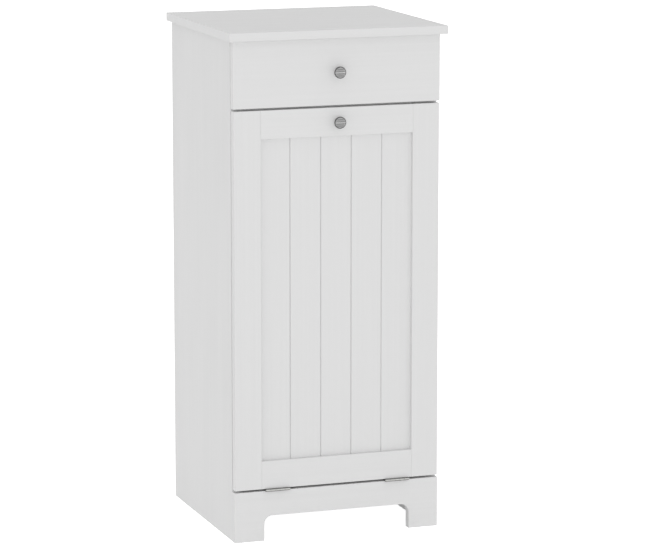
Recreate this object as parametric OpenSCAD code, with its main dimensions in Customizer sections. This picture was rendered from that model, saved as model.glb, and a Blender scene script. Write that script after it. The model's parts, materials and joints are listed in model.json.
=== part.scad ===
// Tilt-out laundry cabinet: a free-standing white cupboard with a drawer over a door
// that tilts forward on two butt hinges and carries a laundry bag in a steel frame.
// Millimetres, +Z up, front towards -Y, origin under the middle of the whole object.

/* [Cabinet] */
// Width of the top panel, the widest board
top_w = 400; // [380:5:480]
// Depth of the top panel
top_d = 380; // [370:5:430]
// Height from the floor to the top
cabinet_h = 900; // [880:5:960]
// Thickness of the cabinet's boards and fronts
board_t = 15; // [15:0.5:18]
// Overhang of the top panel past each side panel
top_side_overhang = 10; // [4:1:16]
// Overhang of the top panel in front of the fronts
top_front_overhang = 15; // [8:1:20]
// Height of the bottom panel's underside above the floor
bottom_panel_z = 60; // [56:1:66]
// Thickness of the hardboard back
back_t = 3; // [2.5:0.5:4]
// Distance from the back panel to the side panels' rear edges
back_inset = 10; // [6:1:14]
// Depth of the grooves that hold the back panel
back_groove_depth = 6; // [4:0.5:8]

/* [Fronts] */
// Height of the drawer front
drawer_front_h = 116.3; // [112:0.1:120]
// Gap between neighbouring fronts
reveal = 4; // [3:0.1:4.5]
// Gap between the drawer front and the top panel
top_reveal = 1.5; // [1:0.1:4]
// How much narrower the door is than the carcass, on each side
door_side_step = 1; // [0:0.5:2]
// Gap between the fronts' backs and the carcass, filled by bumpers
front_gap = 1; // [0.8:0.1:2]

/* [Apron] */
// Height of the fixed apron under the door
apron_h = 90; // [85:0.5:96]
// Width of each foot of the apron
foot_w = 54.5; // [45:0.5:65]
// Height of the arch between the feet
arch_h = 45; // [35:1:50]
// Radius of the arch's upper corners
arch_r = 15; // [5:1:25]

/* [Door] */
// Width of the door's stiles
stile_w = 49; // [47:1:56]
// Height of the door's rails
rail_h = 50; // [44:1:60]
// Thickness of the door's boarded panel
door_panel_t = 6; // [5:0.5:6.5]
// Depth of the panel's face behind the door's face
panel_recess = 7.5; // [6.5:0.5:8]
// Depth that the panel and the rails' tongues reach into their grooves
panel_tongue = 8; // [5:0.5:10]
// Distance between the panel's board grooves
board_pitch = 56.4; // [40:0.1:80]
// Width of a board groove at the panel's face
board_groove_w = 2.5; // [1.5:0.5:4]
// Depth of a board groove
board_groove_depth = 2.25; // [1:0.25:2.5]
// Largest tilt of the door in degrees
tilt = 35; // [20:1:36]

/* [Knobs] */
// Diameter of the knobs
knob_d = 21; // [18:1:28]
// Reach of the knobs in front of the fronts
knob_projection = 16; // [14:1:28]
// Diameter of the knobs' necks
knob_neck_d = 9; // [8:0.5:12]
// Depth of the knobs' heads, with their flared backs
knob_head_t = 9; // [7:0.5:11]
// Thickness of the rims round the knobs' heads
knob_rim_t = 3; // [2.5:0.25:4]
// Pitch of the ribs on the knobs' faces
knob_rib_pitch = 3.6; // [1.8:0.2:4.4]
// Depth of the furrows between the ribs
knob_rib_depth = 0.8; // [0.3:0.1:1]
// Radius of the knob screws
knob_screw_r = 2; // [1.5:0.25:2.5]

/* [Hinges] */
// Length of each hinge barrel
hinge_l = 44; // [40:1:54]
// Distance from each side of the cabinet to the middle of its hinge
hinge_inset = 78.3; // [78:0.1:110]
// Knuckles on each hinge
knuckles = 5; // [3:2:7]
// Radius of the hinge barrels
barrel_r = 2.5; // [2.2:0.1:3]
// Radius of the hinge pins
pin_r = 1.25; // [1:0.05:1.5]
// Thickness of the hinge leaves
leaf_t = 1; // [0.8:0.1:1.2]
// Depth of the hinge leaves behind the fronts' face
leaf_d = 13; // [12:0.5:14]

/* [Drawer] */
// Thickness of the drawer's sides and back
drawer_side_t = 12; // [12:0.5:14]
// Height of the drawer's sides
drawer_box_h = 80; // [70:1:84]
// Gap from the drawer's back to the cabinet's back panel
drawer_back_gap = 37; // [27:1:47]
// Gap from the drawer's bottom edge to the divider
drawer_floor_gap = 12.3; // [11:0.1:14]
// Thickness of the drawer's bottom
drawer_bottom_t = 3; // [2.5:0.5:4]
// Height of the drawer's bottom above its sides' lower edges
drawer_bottom_z = 10; // [8:0.5:11]
// Depth of the grooves that hold the drawer's bottom
drawer_groove_depth = 6; // [4:0.5:7]

/* [Runners] */
// Width of the gap that a runner pair fills
runner_w = 12.5; // [12.5:0.1:13]
// Thickness of the runners' steel
runner_t = 1.2; // [1:0.1:1.4]
// Gap from the cabinet runners' rear ends to the back panel
runner_back_gap = 32; // [22:1:42]
// Radius of the rollers
roller_r = 9; // [8:0.5:9.5]
// Width of the rollers
roller_w = 6; // [5:0.5:6]
// Radius of the rollers' axles
axle_r = 3; // [2:0.25:4]
// Distance from a roller's axis to its runner's end
roller_end = 12; // [10:1:16]
// Height that the front rollers stand above the channels' top flanges
roller_rise = 0.7; // [0.5:0.1:1.2]

/* [Stays] */
// Radius of the curved stays about the hinge pins
stay_r = 240; // [200:5:260]
// Width of the curved stays
stay_w = 14; // [12:0.5:18]
// Thickness of the stays' steel
stay_t = 2; // [1.5:0.25:2.5]
// Radius of the studs that the stays slide on
stud_r = 2.5; // [2:0.25:3]
// Angle of the studs from straight above the hinge pins
stud_angle = 8; // [8:0.5:12]
// Angle of bar past each end of the slot
stay_end_angle = 3.5; // [2.5:0.5:5]

/* [Bag] */
// Radius of the bag frame's rod
rod_r = 3; // [2.5:0.25:4]
// Distance from each side panel to the nearer arm of the bag frame
frame_side_gap = 18; // [15:1:22]
// Drop from the door's upper edge to the bag frame
frame_drop = 115.2; // [105:0.1:200]
// Distance from the door's back to the bag frame's rear bar
frame_reach = 247; // [180:1:260]
// Distance from the door's back to the bag frame's front bar
frame_front = 21; // [18:1:40]
// Bend radius of the bag frame at the middle of its rod
frame_bend_r = 20; // [15:1:40]
// Gap from the laundry bag to the bottom panel under it
bag_floor_gap = 60; // [57:1:250]
// Thickness of the laundry bag's lined wall
bag_t = 2.5; // [1.5:0.5:4]

/* [Fasteners] */
// Radius of the small screws
screw_r = 1.75; // [1.5:0.25:2]
// Length of the small screws in the cabinet's boards
screw_l = 12; // [9:1:13]
// Length of the screws in the hinges' edges
hinge_screw_l = 20; // [16:1:30]
// Radius of the cam locks in the cabinet's boards
cam_r = 7.4; // [6:0.1:8]
// Distance from a joint to the middle of its cam lock
cam_reach = 24; // [20:1:34]
// Radius of the wooden dowels
dowel_r = 4; // [3:0.5:4]
// Length of the wooden dowels
dowel_l = 30; // [26:1:34]

/* [Clearances] */
// Running clearance round pins and axles
running_play = 0.05; // [0.02:0.01:0.1]
// Clearance between pieces that slide or roll past each other
slide_play = 0.3; // [0.3:0.05:0.5]
// Clearance round screws, bolts and dowels in their holes
hole_play = 0.1; // [0.05:0.05:0.2]
// Clearance at the edges of panels in their grooves
edge_play = 0.5; // [0.3:0.1:1]

/* [Hidden] */
$fn = 64;

// Colours of the finishes
white_board = [0.87, 0.87, 0.87];
hardboard = [0.80, 0.79, 0.77];
nickel = [0.62, 0.61, 0.59];
zinc = [0.72, 0.73, 0.75];
beech = [0.80, 0.66, 0.46];
grey_plastic = [0.78, 0.78, 0.78];
coated_white = [0.90, 0.90, 0.90];
linen = [0.82, 0.79, 0.73];
clear_rubber = [0.85, 0.86, 0.86];

// Planes of the cabinet
body_w = top_w - 2 * top_side_overhang;
outer_x = body_w / 2;
inner_x = outer_x - board_t;
board_x = outer_x - board_t / 2;
body_reach = top_d - top_front_overhang;
// The knobs' reach and the body's depth make up the whole depth, with its middle at y = 0
face_y = -(body_reach - knob_projection) / 2;
back_y = face_y + body_reach;
front_back_y = face_y + board_t;
carcass_y = front_back_y + front_gap;
back_panel_y = back_y - back_inset - back_t;
top_z = cabinet_h - board_t;
door_z0 = apron_h + reveal;
drawer_front_z0 = top_z - top_reveal - drawer_front_h;
door_z1 = drawer_front_z0 - reveal;
divider_z = drawer_front_z0 - reveal / 2 - board_t / 2;
divider_top_z = divider_z + board_t;

// Door
door_x = outer_x - door_side_step;
stile_x = door_x - stile_w;
panel_groove_y = face_y + panel_recess;
panel_z0 = door_z0 + rail_h;
panel_z1 = door_z1 - rail_h;
groove_play = 0.1;

// Knobs
knob_neck_l = knob_projection - knob_head_t;
knob_screw_reach = 9;
knob_screw_head_r = 4;
knob_screw_head_t = 2.6;
knob_slot_l = 5;
knob_slot_w = 0.8;
knob_slot_depth = 1;
knob_edge_r = 1;
knob_rim_w = 1.6;
knob_foot_w = 1;
knob_foot_t = 1.5;
knob_foot_h = 4;
drawer_knob_z = drawer_front_z0 + drawer_front_h / 2;
door_knob_z = door_z1 - rail_h / 2;

// Hinges
hinge_x = outer_x - hinge_inset;
hinge_y = face_y - barrel_r;
hinge_z = apron_h + reveal / 2;
knuckle_gap = 0.3;
knuckle_l = (hinge_l - (knuckles - 1) * knuckle_gap) / knuckles;
leaf_notch = 0.6;
hinge_screw_y = face_y + leaf_d * 0.6;
hinge_screw_dx = hinge_l * 0.3;
hinge_head_r = 2.9;
hinge_head_t = 1.3;
pin_head_t = 0.6;
pin_head_r = barrel_r - 0.5;
pin_head_play = 0.05;

// Drawer and its runners
drawer_x = inner_x - runner_w;
drawer_in_x = drawer_x - drawer_side_t;
drawer_z0 = divider_top_z + drawer_floor_gap;
drawer_z1 = drawer_z0 + drawer_box_h;
drawer_back_y = back_panel_y - drawer_back_gap;
drawer_bottom_z0 = drawer_z0 + drawer_bottom_z;
drawer_back_z0 = drawer_bottom_z0 + drawer_bottom_t;
channel_rise = 2;
channel_z0 = drawer_z0 + channel_rise;
channel_z1 = channel_z0 + 2 * (roller_r + slide_play);
channel_lip = 0.1;
channel_x = inner_x - runner_t - roller_w - 4 * slide_play - channel_lip;
runner_setback = 4;
runner_y0 = carcass_y + runner_setback;
runner_y1 = back_panel_y - runner_back_gap;
front_roller_y = runner_y0 + roller_end;
front_roller_z = channel_z1 + runner_t + roller_rise - roller_r;
rear_roller_y = drawer_back_y - roller_end;
rear_roller_z = channel_z0 + slide_play + roller_r;
roller_x = channel_x + roller_w / 2 + slide_play;
roller_flange_gap = 3;
axle_collar_w = 1.5;
axle_collar_r = axle_r + axle_collar_w;
axle_head_t = 0.6;
drawer_flange_z = front_roller_z + roller_r + slide_play;
runner_screw_z = rear_roller_z;
runner_screw_inset = 40;
runner_screw_rear_inset = 30;
runner_screw_ys = [
    runner_y0 + runner_screw_inset, (runner_y0 + runner_y1) / 2, runner_y1 - runner_screw_rear_inset
];
drawer_rail_setback = 2;
drawer_rail_y0 = front_back_y + drawer_rail_setback;
drawer_rail_rise = 5;
drawer_rail_z0 = drawer_z0 + drawer_rail_rise;
drawer_rail_z1 = drawer_flange_z + runner_t;
drawer_screw_rise = 2.5;
drawer_screw_z = drawer_back_z0 + screw_r + drawer_screw_rise;
drawer_screw_ys = [
    front_back_y + runner_screw_inset, (front_back_y + drawer_back_y) / 2, drawer_back_y - runner_screw_inset
];
drawer_screw_l = 10;
box_screw_l = 28;
box_screw_rise = 35;
box_screw_drop = 15;
box_screw_zs = [drawer_z0 + box_screw_rise, drawer_z1 - box_screw_drop];

// Stays
stay_gap_x = 3;
stay_x = inner_x - stay_gap_x;
stud_collar_r = stud_r + 2;
stud_head_t = 1.8;
stud_thread_r = stud_r - 0.5;
stud_slot_w = 0.9;
stud_slot_depth = 0.6;
stud_y = hinge_y + stay_r * sin(stud_angle);
stud_z = hinge_z + stay_r * cos(stud_angle);
stay_flange_w = 17;
stay_flange_h = 30;
stay_flange_z = hinge_z + sqrt(pow(stay_r, 2) - pow(front_back_y - hinge_y, 2));
stay_screw_inset = 6;
stay_screw_dz = stay_flange_h / 2 - stay_screw_inset;

// Magnetic catch
catch_w = 40;
catch_h = 13;
catch_d = 14;
catch_ear_w = 10;
catch_ear_t = 2.5;
catch_ear_inset = 2;
catch_pole_w = 32;
catch_pole_t = 1.5;
catch_pole_inset = 2;
catch_pole_proud = 0.5;
catch_plate_w = 32;
catch_plate_h = 11;
catch_plate_t = 1.2;
catch_y = front_back_y + catch_plate_t + slide_play;
catch_z = divider_z - catch_h;
catch_plate_z = divider_z - catch_h / 2;
catch_plate_screw_x = 10;

// Bag and its frame
frame_x = inner_x - frame_side_gap;
frame_z = door_z1 - frame_drop;
frame_front_y = front_back_y + frame_front;
frame_rear_y = front_back_y + frame_reach;
socket_plate = [24, 2, 36];
socket_boss_r = rod_r + 2.5;
socket_boss_l = 12;
socket_screw_dz = 12;
socket_floor = 1;
bag_gap = rod_r + slide_play;
bag_hem = 1;
bag_x = frame_x - bag_gap;
bag_y0 = frame_front_y + bag_gap;
bag_y1 = frame_rear_y - bag_gap;
bag_z0 = bottom_panel_z + board_t + bag_floor_gap;
bag_z1 = frame_z + rod_r + bag_hem;
bag_corner_r = frame_bend_r - bag_gap;

// Fasteners
head_r = screw_r * 2;
head_t = screw_r * 0.9;
thread_l = 11;
bolt_thread_r = 2.5;
bolt_shaft_r = 3;
bolt_head_r = 3.4;
bolt_head_t = 3;
bolt_neck_l = 2;
bolt_neck_r = 2.1;
bolt_head_play = 0.6;
cam_floor = 2;
cam_sink = 0.3;
cam_slot_w = 1.6;
cam_slot_depth = 1.5;
small_cam_r = 5.9;
small_cam_reach = 20;
nail_r = 0.9;
nail_l = 16;
nail_head_r = 2.2;
nail_head_t = 0.8;
bumper_r = 4;
bumper_t = front_gap - slide_play;
door_bumper_inset = 40;
drawer_bumper_rise = 15;
drawer_bumper_drop = 25;
bumper_zs = [
    door_z0 + door_bumper_inset, door_z1 - door_bumper_inset,
    drawer_front_z0 + drawer_bumper_rise, top_z - drawer_bumper_drop
];

// Places on the left half of the carcass: a point of the joint and a turn that puts
// local +Z along the joint, into the board with the cam lock, and local +X to its face
cam_inset = 50;
dowel_pitch = 32;
joint_ys = [carcass_y + cam_inset, back_panel_y - cam_inset];
dowel_ys = [joint_ys[0] + dowel_pitch, joint_ys[1] - dowel_pitch];
apron_cam_z = 40;
apron_dowel_z = 14;
apron_dowel_drop = 10;
across = [0, 90, 0];
downwards = [180, 0, 0];
backwards = [-90, 0, 0];
bottom_z = bottom_panel_z + board_t / 2;
divider_mid_z = divider_z + board_t / 2;
bottom_cams = [for (y = joint_ys) [[-inner_x, y, bottom_z], across]];
divider_cams = [for (y = joint_ys) [[-inner_x, y, divider_mid_z], across]];
top_cams = [for (y = joint_ys) [[-board_x, y, top_z], downwards]];
apron_cams = [[[-board_x, carcass_y, apron_cam_z], backwards]];
bottom_dowels = [for (y = dowel_ys) [[-inner_x, y, bottom_z], across]];
divider_dowels = [for (y = dowel_ys) [[-inner_x, y, divider_mid_z], across]];
top_dowels = [for (y = dowel_ys) [[-board_x, y, top_z], downwards]];
apron_dowels = [
    for (z = [apron_dowel_z, apron_h - apron_dowel_drop]) [[-board_x, carcass_y, z], backwards]
];
carcass_cams = concat(bottom_cams, divider_cams, top_cams, apron_cams);
carcass_dowels = concat(bottom_dowels, divider_dowels, top_dowels, apron_dowels);
drawer_cam_x = drawer_x - drawer_side_t / 2;
drawer_cam_rise = 38;
drawer_cam_drop = 18;
drawer_cams = [
    for (z = [drawer_z0 + drawer_cam_rise, drawer_z1 - drawer_cam_drop])
    [[-drawer_cam_x, front_back_y, z], backwards]
];

// Places of screws on the left half: the middle of the head's face and a turn that
// points local -Z into the board
into_left_side = [0, 90, 0];
into_drawer_side = [0, -90, 0];
into_door = [-90, 0, 0];
upwards = [180, 0, 0];
level = [0, 0, 0];
runner_screws = [for (y = runner_screw_ys) [[-inner_x + runner_t, y, runner_screw_z], into_left_side]];
catch_screws = [[
    [-(catch_w + catch_ear_w) / 2, catch_y + catch_d / 2, divider_z - catch_ear_t], upwards
]];
stay_screws = [
    for (dz = [-stay_screw_dz, stay_screw_dz])
    [[-stay_x + (stay_flange_w + stay_t) / 2, front_back_y + stay_t, stay_flange_z + dz], into_door]
];
plate_screws = [[[-catch_plate_screw_x, front_back_y + catch_plate_t, catch_plate_z], into_door]];
socket_screws = [
    for (dz = [-socket_screw_dz, socket_screw_dz])
    [[-frame_x, front_back_y + socket_plate[1], frame_z + dz], into_door]
];
drawer_side_screws = [
    for (y = drawer_screw_ys) [[-drawer_x - runner_t, y, drawer_screw_z], into_drawer_side]
];
box_screws = [
    for (z = box_screw_zs) [[-drawer_x, drawer_back_y - drawer_side_t / 2, z], into_drawer_side]
];
hinge_low_screws = [
    for (dx = [-hinge_screw_dx, hinge_screw_dx]) [[-hinge_x + dx, hinge_screw_y, apron_h + leaf_t], level]
];
hinge_high_screws = [
    for (dx = [-hinge_screw_dx, hinge_screw_dx]) [[-hinge_x + dx, hinge_screw_y, door_z0 - leaf_t], upwards]
];
nail_xs = [-inner_x * 0.75, 0, inner_x * 0.75];
nail_zs = [bottom_z, divider_mid_z];

// A box between two corners
module block(x, y, z) {
    translate([x[0], y[0], z[0]])
        cube([x[1] - x[0], y[1] - y[0], z[1] - z[0]]);
}

// The shape and its mirror image on the right
module both_sides() {
    children();
    mirror([1, 0, 0])
        children();
}

// The left shape, or its mirror image
module on_side(right) {
    mirror([right ? 1 : 0, 0, 0])
        children();
}

// The shape at each listed place of the left half and its mirror image
module at_places(places) {
    for (p = places) {
        both_sides()
            translate(p[0])
                rotate(p[1])
                    children();
    }
}

// A countersunk wood screw that points down from its head's face at z = 0
module wood_screw(r, l, hr, ht) {
    difference() {
        union() {
            translate([0, 0, -l])
                cylinder(r = r, h = l - ht / 2);
            translate([0, 0, -ht])
                cylinder(r1 = r, r2 = hr, h = ht);
        }
        cube([hr * 1.1, hr * 0.3, ht * 1.2], center = true);
        cube([hr * 0.3, hr * 1.1, ht * 1.2], center = true);
    }
}

// The hole that a countersunk wood screw needs
module wood_screw_hole(r, l, hr, ht) {
    translate([0, 0, -l - hole_play])
        cylinder(r = r + hole_play, h = l);
    translate([0, 0, -ht])
        cylinder(r1 = r + hole_play, r2 = hr + hole_play, h = ht);
    cylinder(r = hr + hole_play, h = 1);
}

// A bolt that screws into one board and ends in the head that a cam lock pulls on
module cam_bolt(reach) {
    translate([0, 0, -thread_l])
        cylinder(r = bolt_thread_r, h = thread_l * 1.05);
    cylinder(r = bolt_shaft_r, h = reach - bolt_head_t - bolt_neck_l);
    cylinder(r = bolt_neck_r, h = reach - bolt_head_t / 2);
    translate([0, 0, reach - bolt_head_t])
        cylinder(r = bolt_head_r, h = bolt_head_t);
}

// A round cam lock in a board of thickness t, seen from its face at local +X
module cam_lock(reach, r, t) {
    difference() {
        translate([t / 2 - (t - cam_floor), 0, reach])
            rotate([0, 90, 0])
                cylinder(r = r, h = t - cam_floor - cam_sink);
        translate([0, 0, reach - r - 1])
            cylinder(r = bolt_head_r + bolt_head_play, h = r + 2);
        translate([t / 2 - cam_slot_depth, -r * 0.6, reach - cam_slot_w / 2])
            cube([cam_slot_depth + 1, r * 1.2, cam_slot_w]);
        translate([t / 2 - cam_slot_depth, -cam_slot_w / 2, reach - r * 0.6])
            cube([cam_slot_depth + 1, cam_slot_w, r * 1.2]);
    }
}

// The three holes that a cam bolt and its lock need
module cam_holes(reach, r, t) {
    translate([0, 0, -thread_l - hole_play])
        cylinder(r = bolt_thread_r + hole_play, h = thread_l + hole_play + 0.01);
    cylinder(r = bolt_head_r + bolt_head_play, h = reach);
    translate([t / 2 - (t - cam_floor) - hole_play, 0, reach])
        rotate([0, 90, 0])
            cylinder(r = r + hole_play, h = t);
}

module dowel_pin() {
    translate([0, 0, -dowel_l / 3])
        cylinder(r = dowel_r, h = dowel_l);
}

module dowel_hole() {
    translate([0, 0, -dowel_l / 3 - edge_play])
        cylinder(r = dowel_r + hole_play, h = dowel_l + 2 * edge_play);
}

module cuts_for_cams(places) {
    at_places(places)
        cam_holes(cam_reach, cam_r, board_t);
}

module cuts_for_dowels(places) {
    at_places(places)
        dowel_hole();
}

module small_screw_holes(places, l) {
    at_places(places)
        wood_screw_hole(screw_r, l, head_r, head_t);
}

module nail_places() {
    for (x = nail_xs) {
        for (z = nail_zs) {
            translate([x, back_panel_y + back_t, z])
                rotate([90, 0, 0])
                    children();
        }
    }
}

module top_panel() {
    color(white_board)
        difference() {
            block([-top_w / 2, top_w / 2], [face_y - top_front_overhang, back_y], [top_z, cabinet_h]);
            cuts_for_cams(top_cams);
            cuts_for_dowels(top_dowels);
        }
}

module left_side_shape() {
    difference() {
        block([-outer_x, -inner_x], [carcass_y, back_y], [0, top_z]);
        block([-inner_x - back_groove_depth, 0],
            [back_panel_y - groove_play, back_panel_y + back_t + groove_play], [-1, top_z + 1]);
        cuts_for_cams(carcass_cams);
        cuts_for_dowels(carcass_dowels);
        small_screw_holes(runner_screws, screw_l);
        translate([-inner_x, stud_y, stud_z])
            rotate(into_left_side)
                translate([0, 0, -screw_l])
                    cylinder(r = stud_thread_r + hole_play, h = screw_l + 1);
    }
}

module left_side_panel() {
    color(white_board)
        left_side_shape();
}

module right_side_panel() {
    color(white_board)
        on_side(true)
            left_side_shape();
}

module back_panel() {
    panel_x = inner_x + back_groove_depth - edge_play;
    color(hardboard)
        difference() {
            block([-panel_x, panel_x], [back_panel_y, back_panel_y + back_t], [bottom_panel_z, top_z]);
            nail_places()
                translate([0, 0, -1])
                    cylinder(r = nail_r + hole_play, h = nail_l);
        }
}

module bottom_panel() {
    color(white_board)
        difference() {
            block([-inner_x, inner_x], [carcass_y, back_panel_y],
                [bottom_panel_z, bottom_panel_z + board_t]);
            cuts_for_cams(bottom_cams);
            cuts_for_dowels(bottom_dowels);
            nail_places()
                cylinder(r = nail_r + hole_play, h = nail_l + edge_play);
        }
}

module divider_panel() {
    color(white_board)
        difference() {
            block([-inner_x, inner_x], [carcass_y, back_panel_y], [divider_z, divider_top_z]);
            cuts_for_cams(divider_cams);
            cuts_for_dowels(divider_dowels);
            small_screw_holes(catch_screws, screw_l);
            nail_places()
                cylinder(r = nail_r + hole_play, h = nail_l + edge_play);
        }
}

module front_apron() {
    arch_x = outer_x - foot_w;
    color(white_board)
        difference() {
            block([-outer_x, outer_x], [face_y + front_gap, carcass_y], [0, apron_h]);
            block([-arch_x, arch_x], [face_y, carcass_y + 1], [-1, arch_h - arch_r]);
            block([-arch_x + arch_r, arch_x - arch_r], [face_y, carcass_y + 1], [-1, arch_h]);
            both_sides()
                translate([-arch_x + arch_r, face_y, arch_h - arch_r])
                    rotate([-90, 0, 0])
                        cylinder(r = arch_r, h = board_t + front_gap + 1);
            cuts_for_cams(apron_cams);
            cuts_for_dowels(apron_dowels);
            at_places(hinge_low_screws)
                wood_screw_hole(screw_r, hinge_screw_l, hinge_head_r, hinge_head_t);
        }
}

module cam_locks() {
    color(zinc)
        at_places(carcass_cams)
            cam_lock(cam_reach, cam_r, board_t);
}

module cam_bolts() {
    color(zinc)
        at_places(carcass_cams)
            cam_bolt(cam_reach);
}

module wooden_dowels() {
    color(beech)
        at_places(carcass_dowels)
            dowel_pin();
}

module back_panel_nails() {
    color(zinc)
        nail_places() {
            cylinder(r = nail_r, h = nail_l);
            translate([0, 0, -nail_head_t])
                cylinder(r = nail_head_r, h = nail_head_t);
        }
}

// The channel on the left side panel
module cabinet_runner_shape() {
    web = [-inner_x, -inner_x + runner_t];
    flange = [-inner_x, -channel_x];
    flange_y0 = front_roller_y + roller_r + roller_flange_gap;
    difference() {
        union() {
            block(web, [runner_y0, runner_y1], [channel_z0 - runner_t, channel_z1 + runner_t]);
            block(flange, [runner_y0, runner_y1], [channel_z0 - runner_t, channel_z0]);
            block(flange, [flange_y0, runner_y1], [channel_z1, channel_z1 + runner_t]);
        }
        small_screw_holes(runner_screws, screw_l);
        translate([-inner_x - 1, front_roller_y, front_roller_z])
            rotate([0, 90, 0])
                cylinder(r = axle_r, h = runner_t + 2);
    }
}

module left_cabinet_runner() {
    color(coated_white)
        cabinet_runner_shape();
}

module right_cabinet_runner() {
    color(coated_white)
        on_side(true)
            cabinet_runner_shape();
}

// Axle from its web at local z = 0: a rivet shank, a collar, the journal and a head
module roller_axle(collar_l) {
    translate([0, 0, -runner_t])
        cylinder(r = axle_r, h = runner_t + collar_l + roller_w + 2 * slide_play + axle_head_t);
    cylinder(r = axle_collar_r, h = collar_l);
    translate([0, 0, collar_l + roller_w + 2 * slide_play])
        cylinder(r = axle_collar_r, h = axle_head_t);
}

module cabinet_roller_axles() {
    collar_l = (-roller_x - roller_w / 2 - slide_play) + inner_x - runner_t;
    color(zinc)
        both_sides()
            translate([-inner_x + runner_t, front_roller_y, front_roller_z])
                rotate([0, 90, 0])
                    roller_axle(collar_l);
}

module drawer_roller_axles() {
    collar_l = (roller_x - roller_w / 2 - slide_play) - drawer_x - runner_t;
    color(zinc)
        both_sides()
            translate([-drawer_x - runner_t, rear_roller_y, rear_roller_z])
                rotate([0, -90, 0])
                    roller_axle(collar_l);
}

module roller_at(y, z, right) {
    on_side(right)
        translate([-roller_x - roller_w / 2, y, z])
            rotate([0, 90, 0])
                difference() {
                    cylinder(r = roller_r, h = roller_w);
                    translate([0, 0, -1])
                        cylinder(r = axle_r + running_play, h = roller_w + 2);
                }
}

module left_front_roller() {
    color(grey_plastic)
        roller_at(front_roller_y, front_roller_z, false);
}

module right_front_roller() {
    color(grey_plastic)
        roller_at(front_roller_y, front_roller_z, true);
}

module left_rear_roller() {
    color(grey_plastic)
        roller_at(rear_roller_y, rear_roller_z, false);
}

module right_rear_roller() {
    color(grey_plastic)
        roller_at(rear_roller_y, rear_roller_z, true);
}

module cabinet_fitting_screws() {
    color(zinc)
        at_places(concat(runner_screws, catch_screws))
            wood_screw(screw_r, screw_l, head_r, head_t);
}

module magnetic_catch() {
    recess_z = catch_pole_inset + catch_pole_t;
    color(coated_white)
        difference() {
            union() {
                block([-catch_w / 2, catch_w / 2], [catch_y, catch_y + catch_d], [catch_z, divider_z]);
                block([-catch_w / 2 - catch_ear_w, catch_w / 2 + catch_ear_w],
                    [catch_y + catch_ear_inset, catch_y + catch_d - catch_ear_inset],
                    [divider_z - catch_ear_t, divider_z]);
            }
            block([-catch_pole_w / 2, catch_pole_w / 2], [catch_y - 1, catch_y + catch_pole_proud],
                [catch_z + recess_z, catch_z + catch_h - recess_z]);
            small_screw_holes(catch_screws, screw_l);
        }
}

// Shouldered stud in the left side panel: screw, collar, shaft and head
module stay_stud_shape() {
    collar_l = stay_gap_x - slide_play;
    head_z = stay_gap_x + stay_t + slide_play;
    translate([-inner_x, stud_y, stud_z])
        rotate([0, 90, 0]) {
            translate([0, 0, -screw_l])
                cylinder(r = stud_thread_r, h = screw_l + 1);
            cylinder(r = stud_collar_r, h = collar_l);
            cylinder(r = stud_r, h = head_z + stud_head_t);
            difference() {
                translate([0, 0, head_z])
                    cylinder(r = stud_collar_r, h = stud_head_t);
                translate([0, 0, head_z + stud_head_t])
                    cube([2 * stud_collar_r + 1, stud_slot_w, 2 * stud_slot_depth], center = true);
            }
        }
}

module left_stay_stud() {
    color(zinc)
        stay_stud_shape();
}

module right_stay_stud() {
    color(zinc)
        on_side(true)
            stay_stud_shape();
}

// Plate of a hinge leaf between two heights
module leaf_plate(z) {
    block([-hinge_x - hinge_l / 2, -hinge_x + hinge_l / 2],
        [hinge_y + barrel_r + leaf_notch, face_y + leaf_d], z);
}

// Every second knuckle of a hinge with its strap to the plate, from knuckle number first
module leaf_knuckles(first, z) {
    for (i = [first : 2 : knuckles - 1]) {
        x0 = -hinge_x - hinge_l / 2 + i * (knuckle_l + knuckle_gap);
        block([x0, x0 + knuckle_l], [hinge_y, hinge_y + barrel_r + leaf_notch + 1], z);
        translate([x0, hinge_y, hinge_z])
            rotate([0, 90, 0])
                cylinder(r = barrel_r, h = knuckle_l);
    }
}

module pin_bore() {
    translate([-hinge_x - hinge_l / 2 - 1, hinge_y, hinge_z])
        rotate([0, 90, 0])
            cylinder(r = pin_r + running_play, h = hinge_l + 2);
}

module hinge_fixed_shape() {
    z = [apron_h, apron_h + leaf_t];
    difference() {
        union() {
            leaf_plate(z);
            leaf_knuckles(0, z);
        }
        pin_bore();
        at_places(hinge_low_screws)
            wood_screw_hole(screw_r, hinge_screw_l, hinge_head_r, hinge_head_t);
    }
}

module hinge_door_shape() {
    z = [door_z0 - leaf_t, door_z0];
    difference() {
        union() {
            leaf_plate(z);
            leaf_knuckles(1, z);
        }
        pin_bore();
        at_places(hinge_high_screws)
            wood_screw_hole(screw_r, hinge_screw_l, hinge_head_r, hinge_head_t);
    }
}

module hinge_pin_shape() {
    translate([-hinge_x - hinge_l / 2, hinge_y, hinge_z])
        rotate([0, 90, 0]) {
            translate([0, 0, -2 * pin_head_play])
                cylinder(r = pin_r, h = hinge_l + 4 * pin_head_play);
            translate([0, 0, -pin_head_t - pin_head_play])
                cylinder(r = pin_head_r, h = pin_head_t);
            translate([0, 0, hinge_l + pin_head_play])
                cylinder(r = pin_head_r, h = pin_head_t);
        }
}

module left_hinge_fixed_leaf() {
    color(nickel)
        hinge_fixed_shape();
}

module right_hinge_fixed_leaf() {
    color(nickel)
        on_side(true)
            hinge_fixed_shape();
}

module left_hinge_door_leaf() {
    color(nickel)
        hinge_door_shape();
}

module right_hinge_door_leaf() {
    color(nickel)
        on_side(true)
            hinge_door_shape();
}

module left_hinge_pin() {
    color(nickel)
        hinge_pin_shape();
}

module right_hinge_pin() {
    color(nickel)
        on_side(true)
            hinge_pin_shape();
}

module hinge_fixed_screws() {
    color(nickel)
        at_places(hinge_low_screws)
            wood_screw(screw_r, hinge_screw_l, hinge_head_r, hinge_head_t);
}

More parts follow.
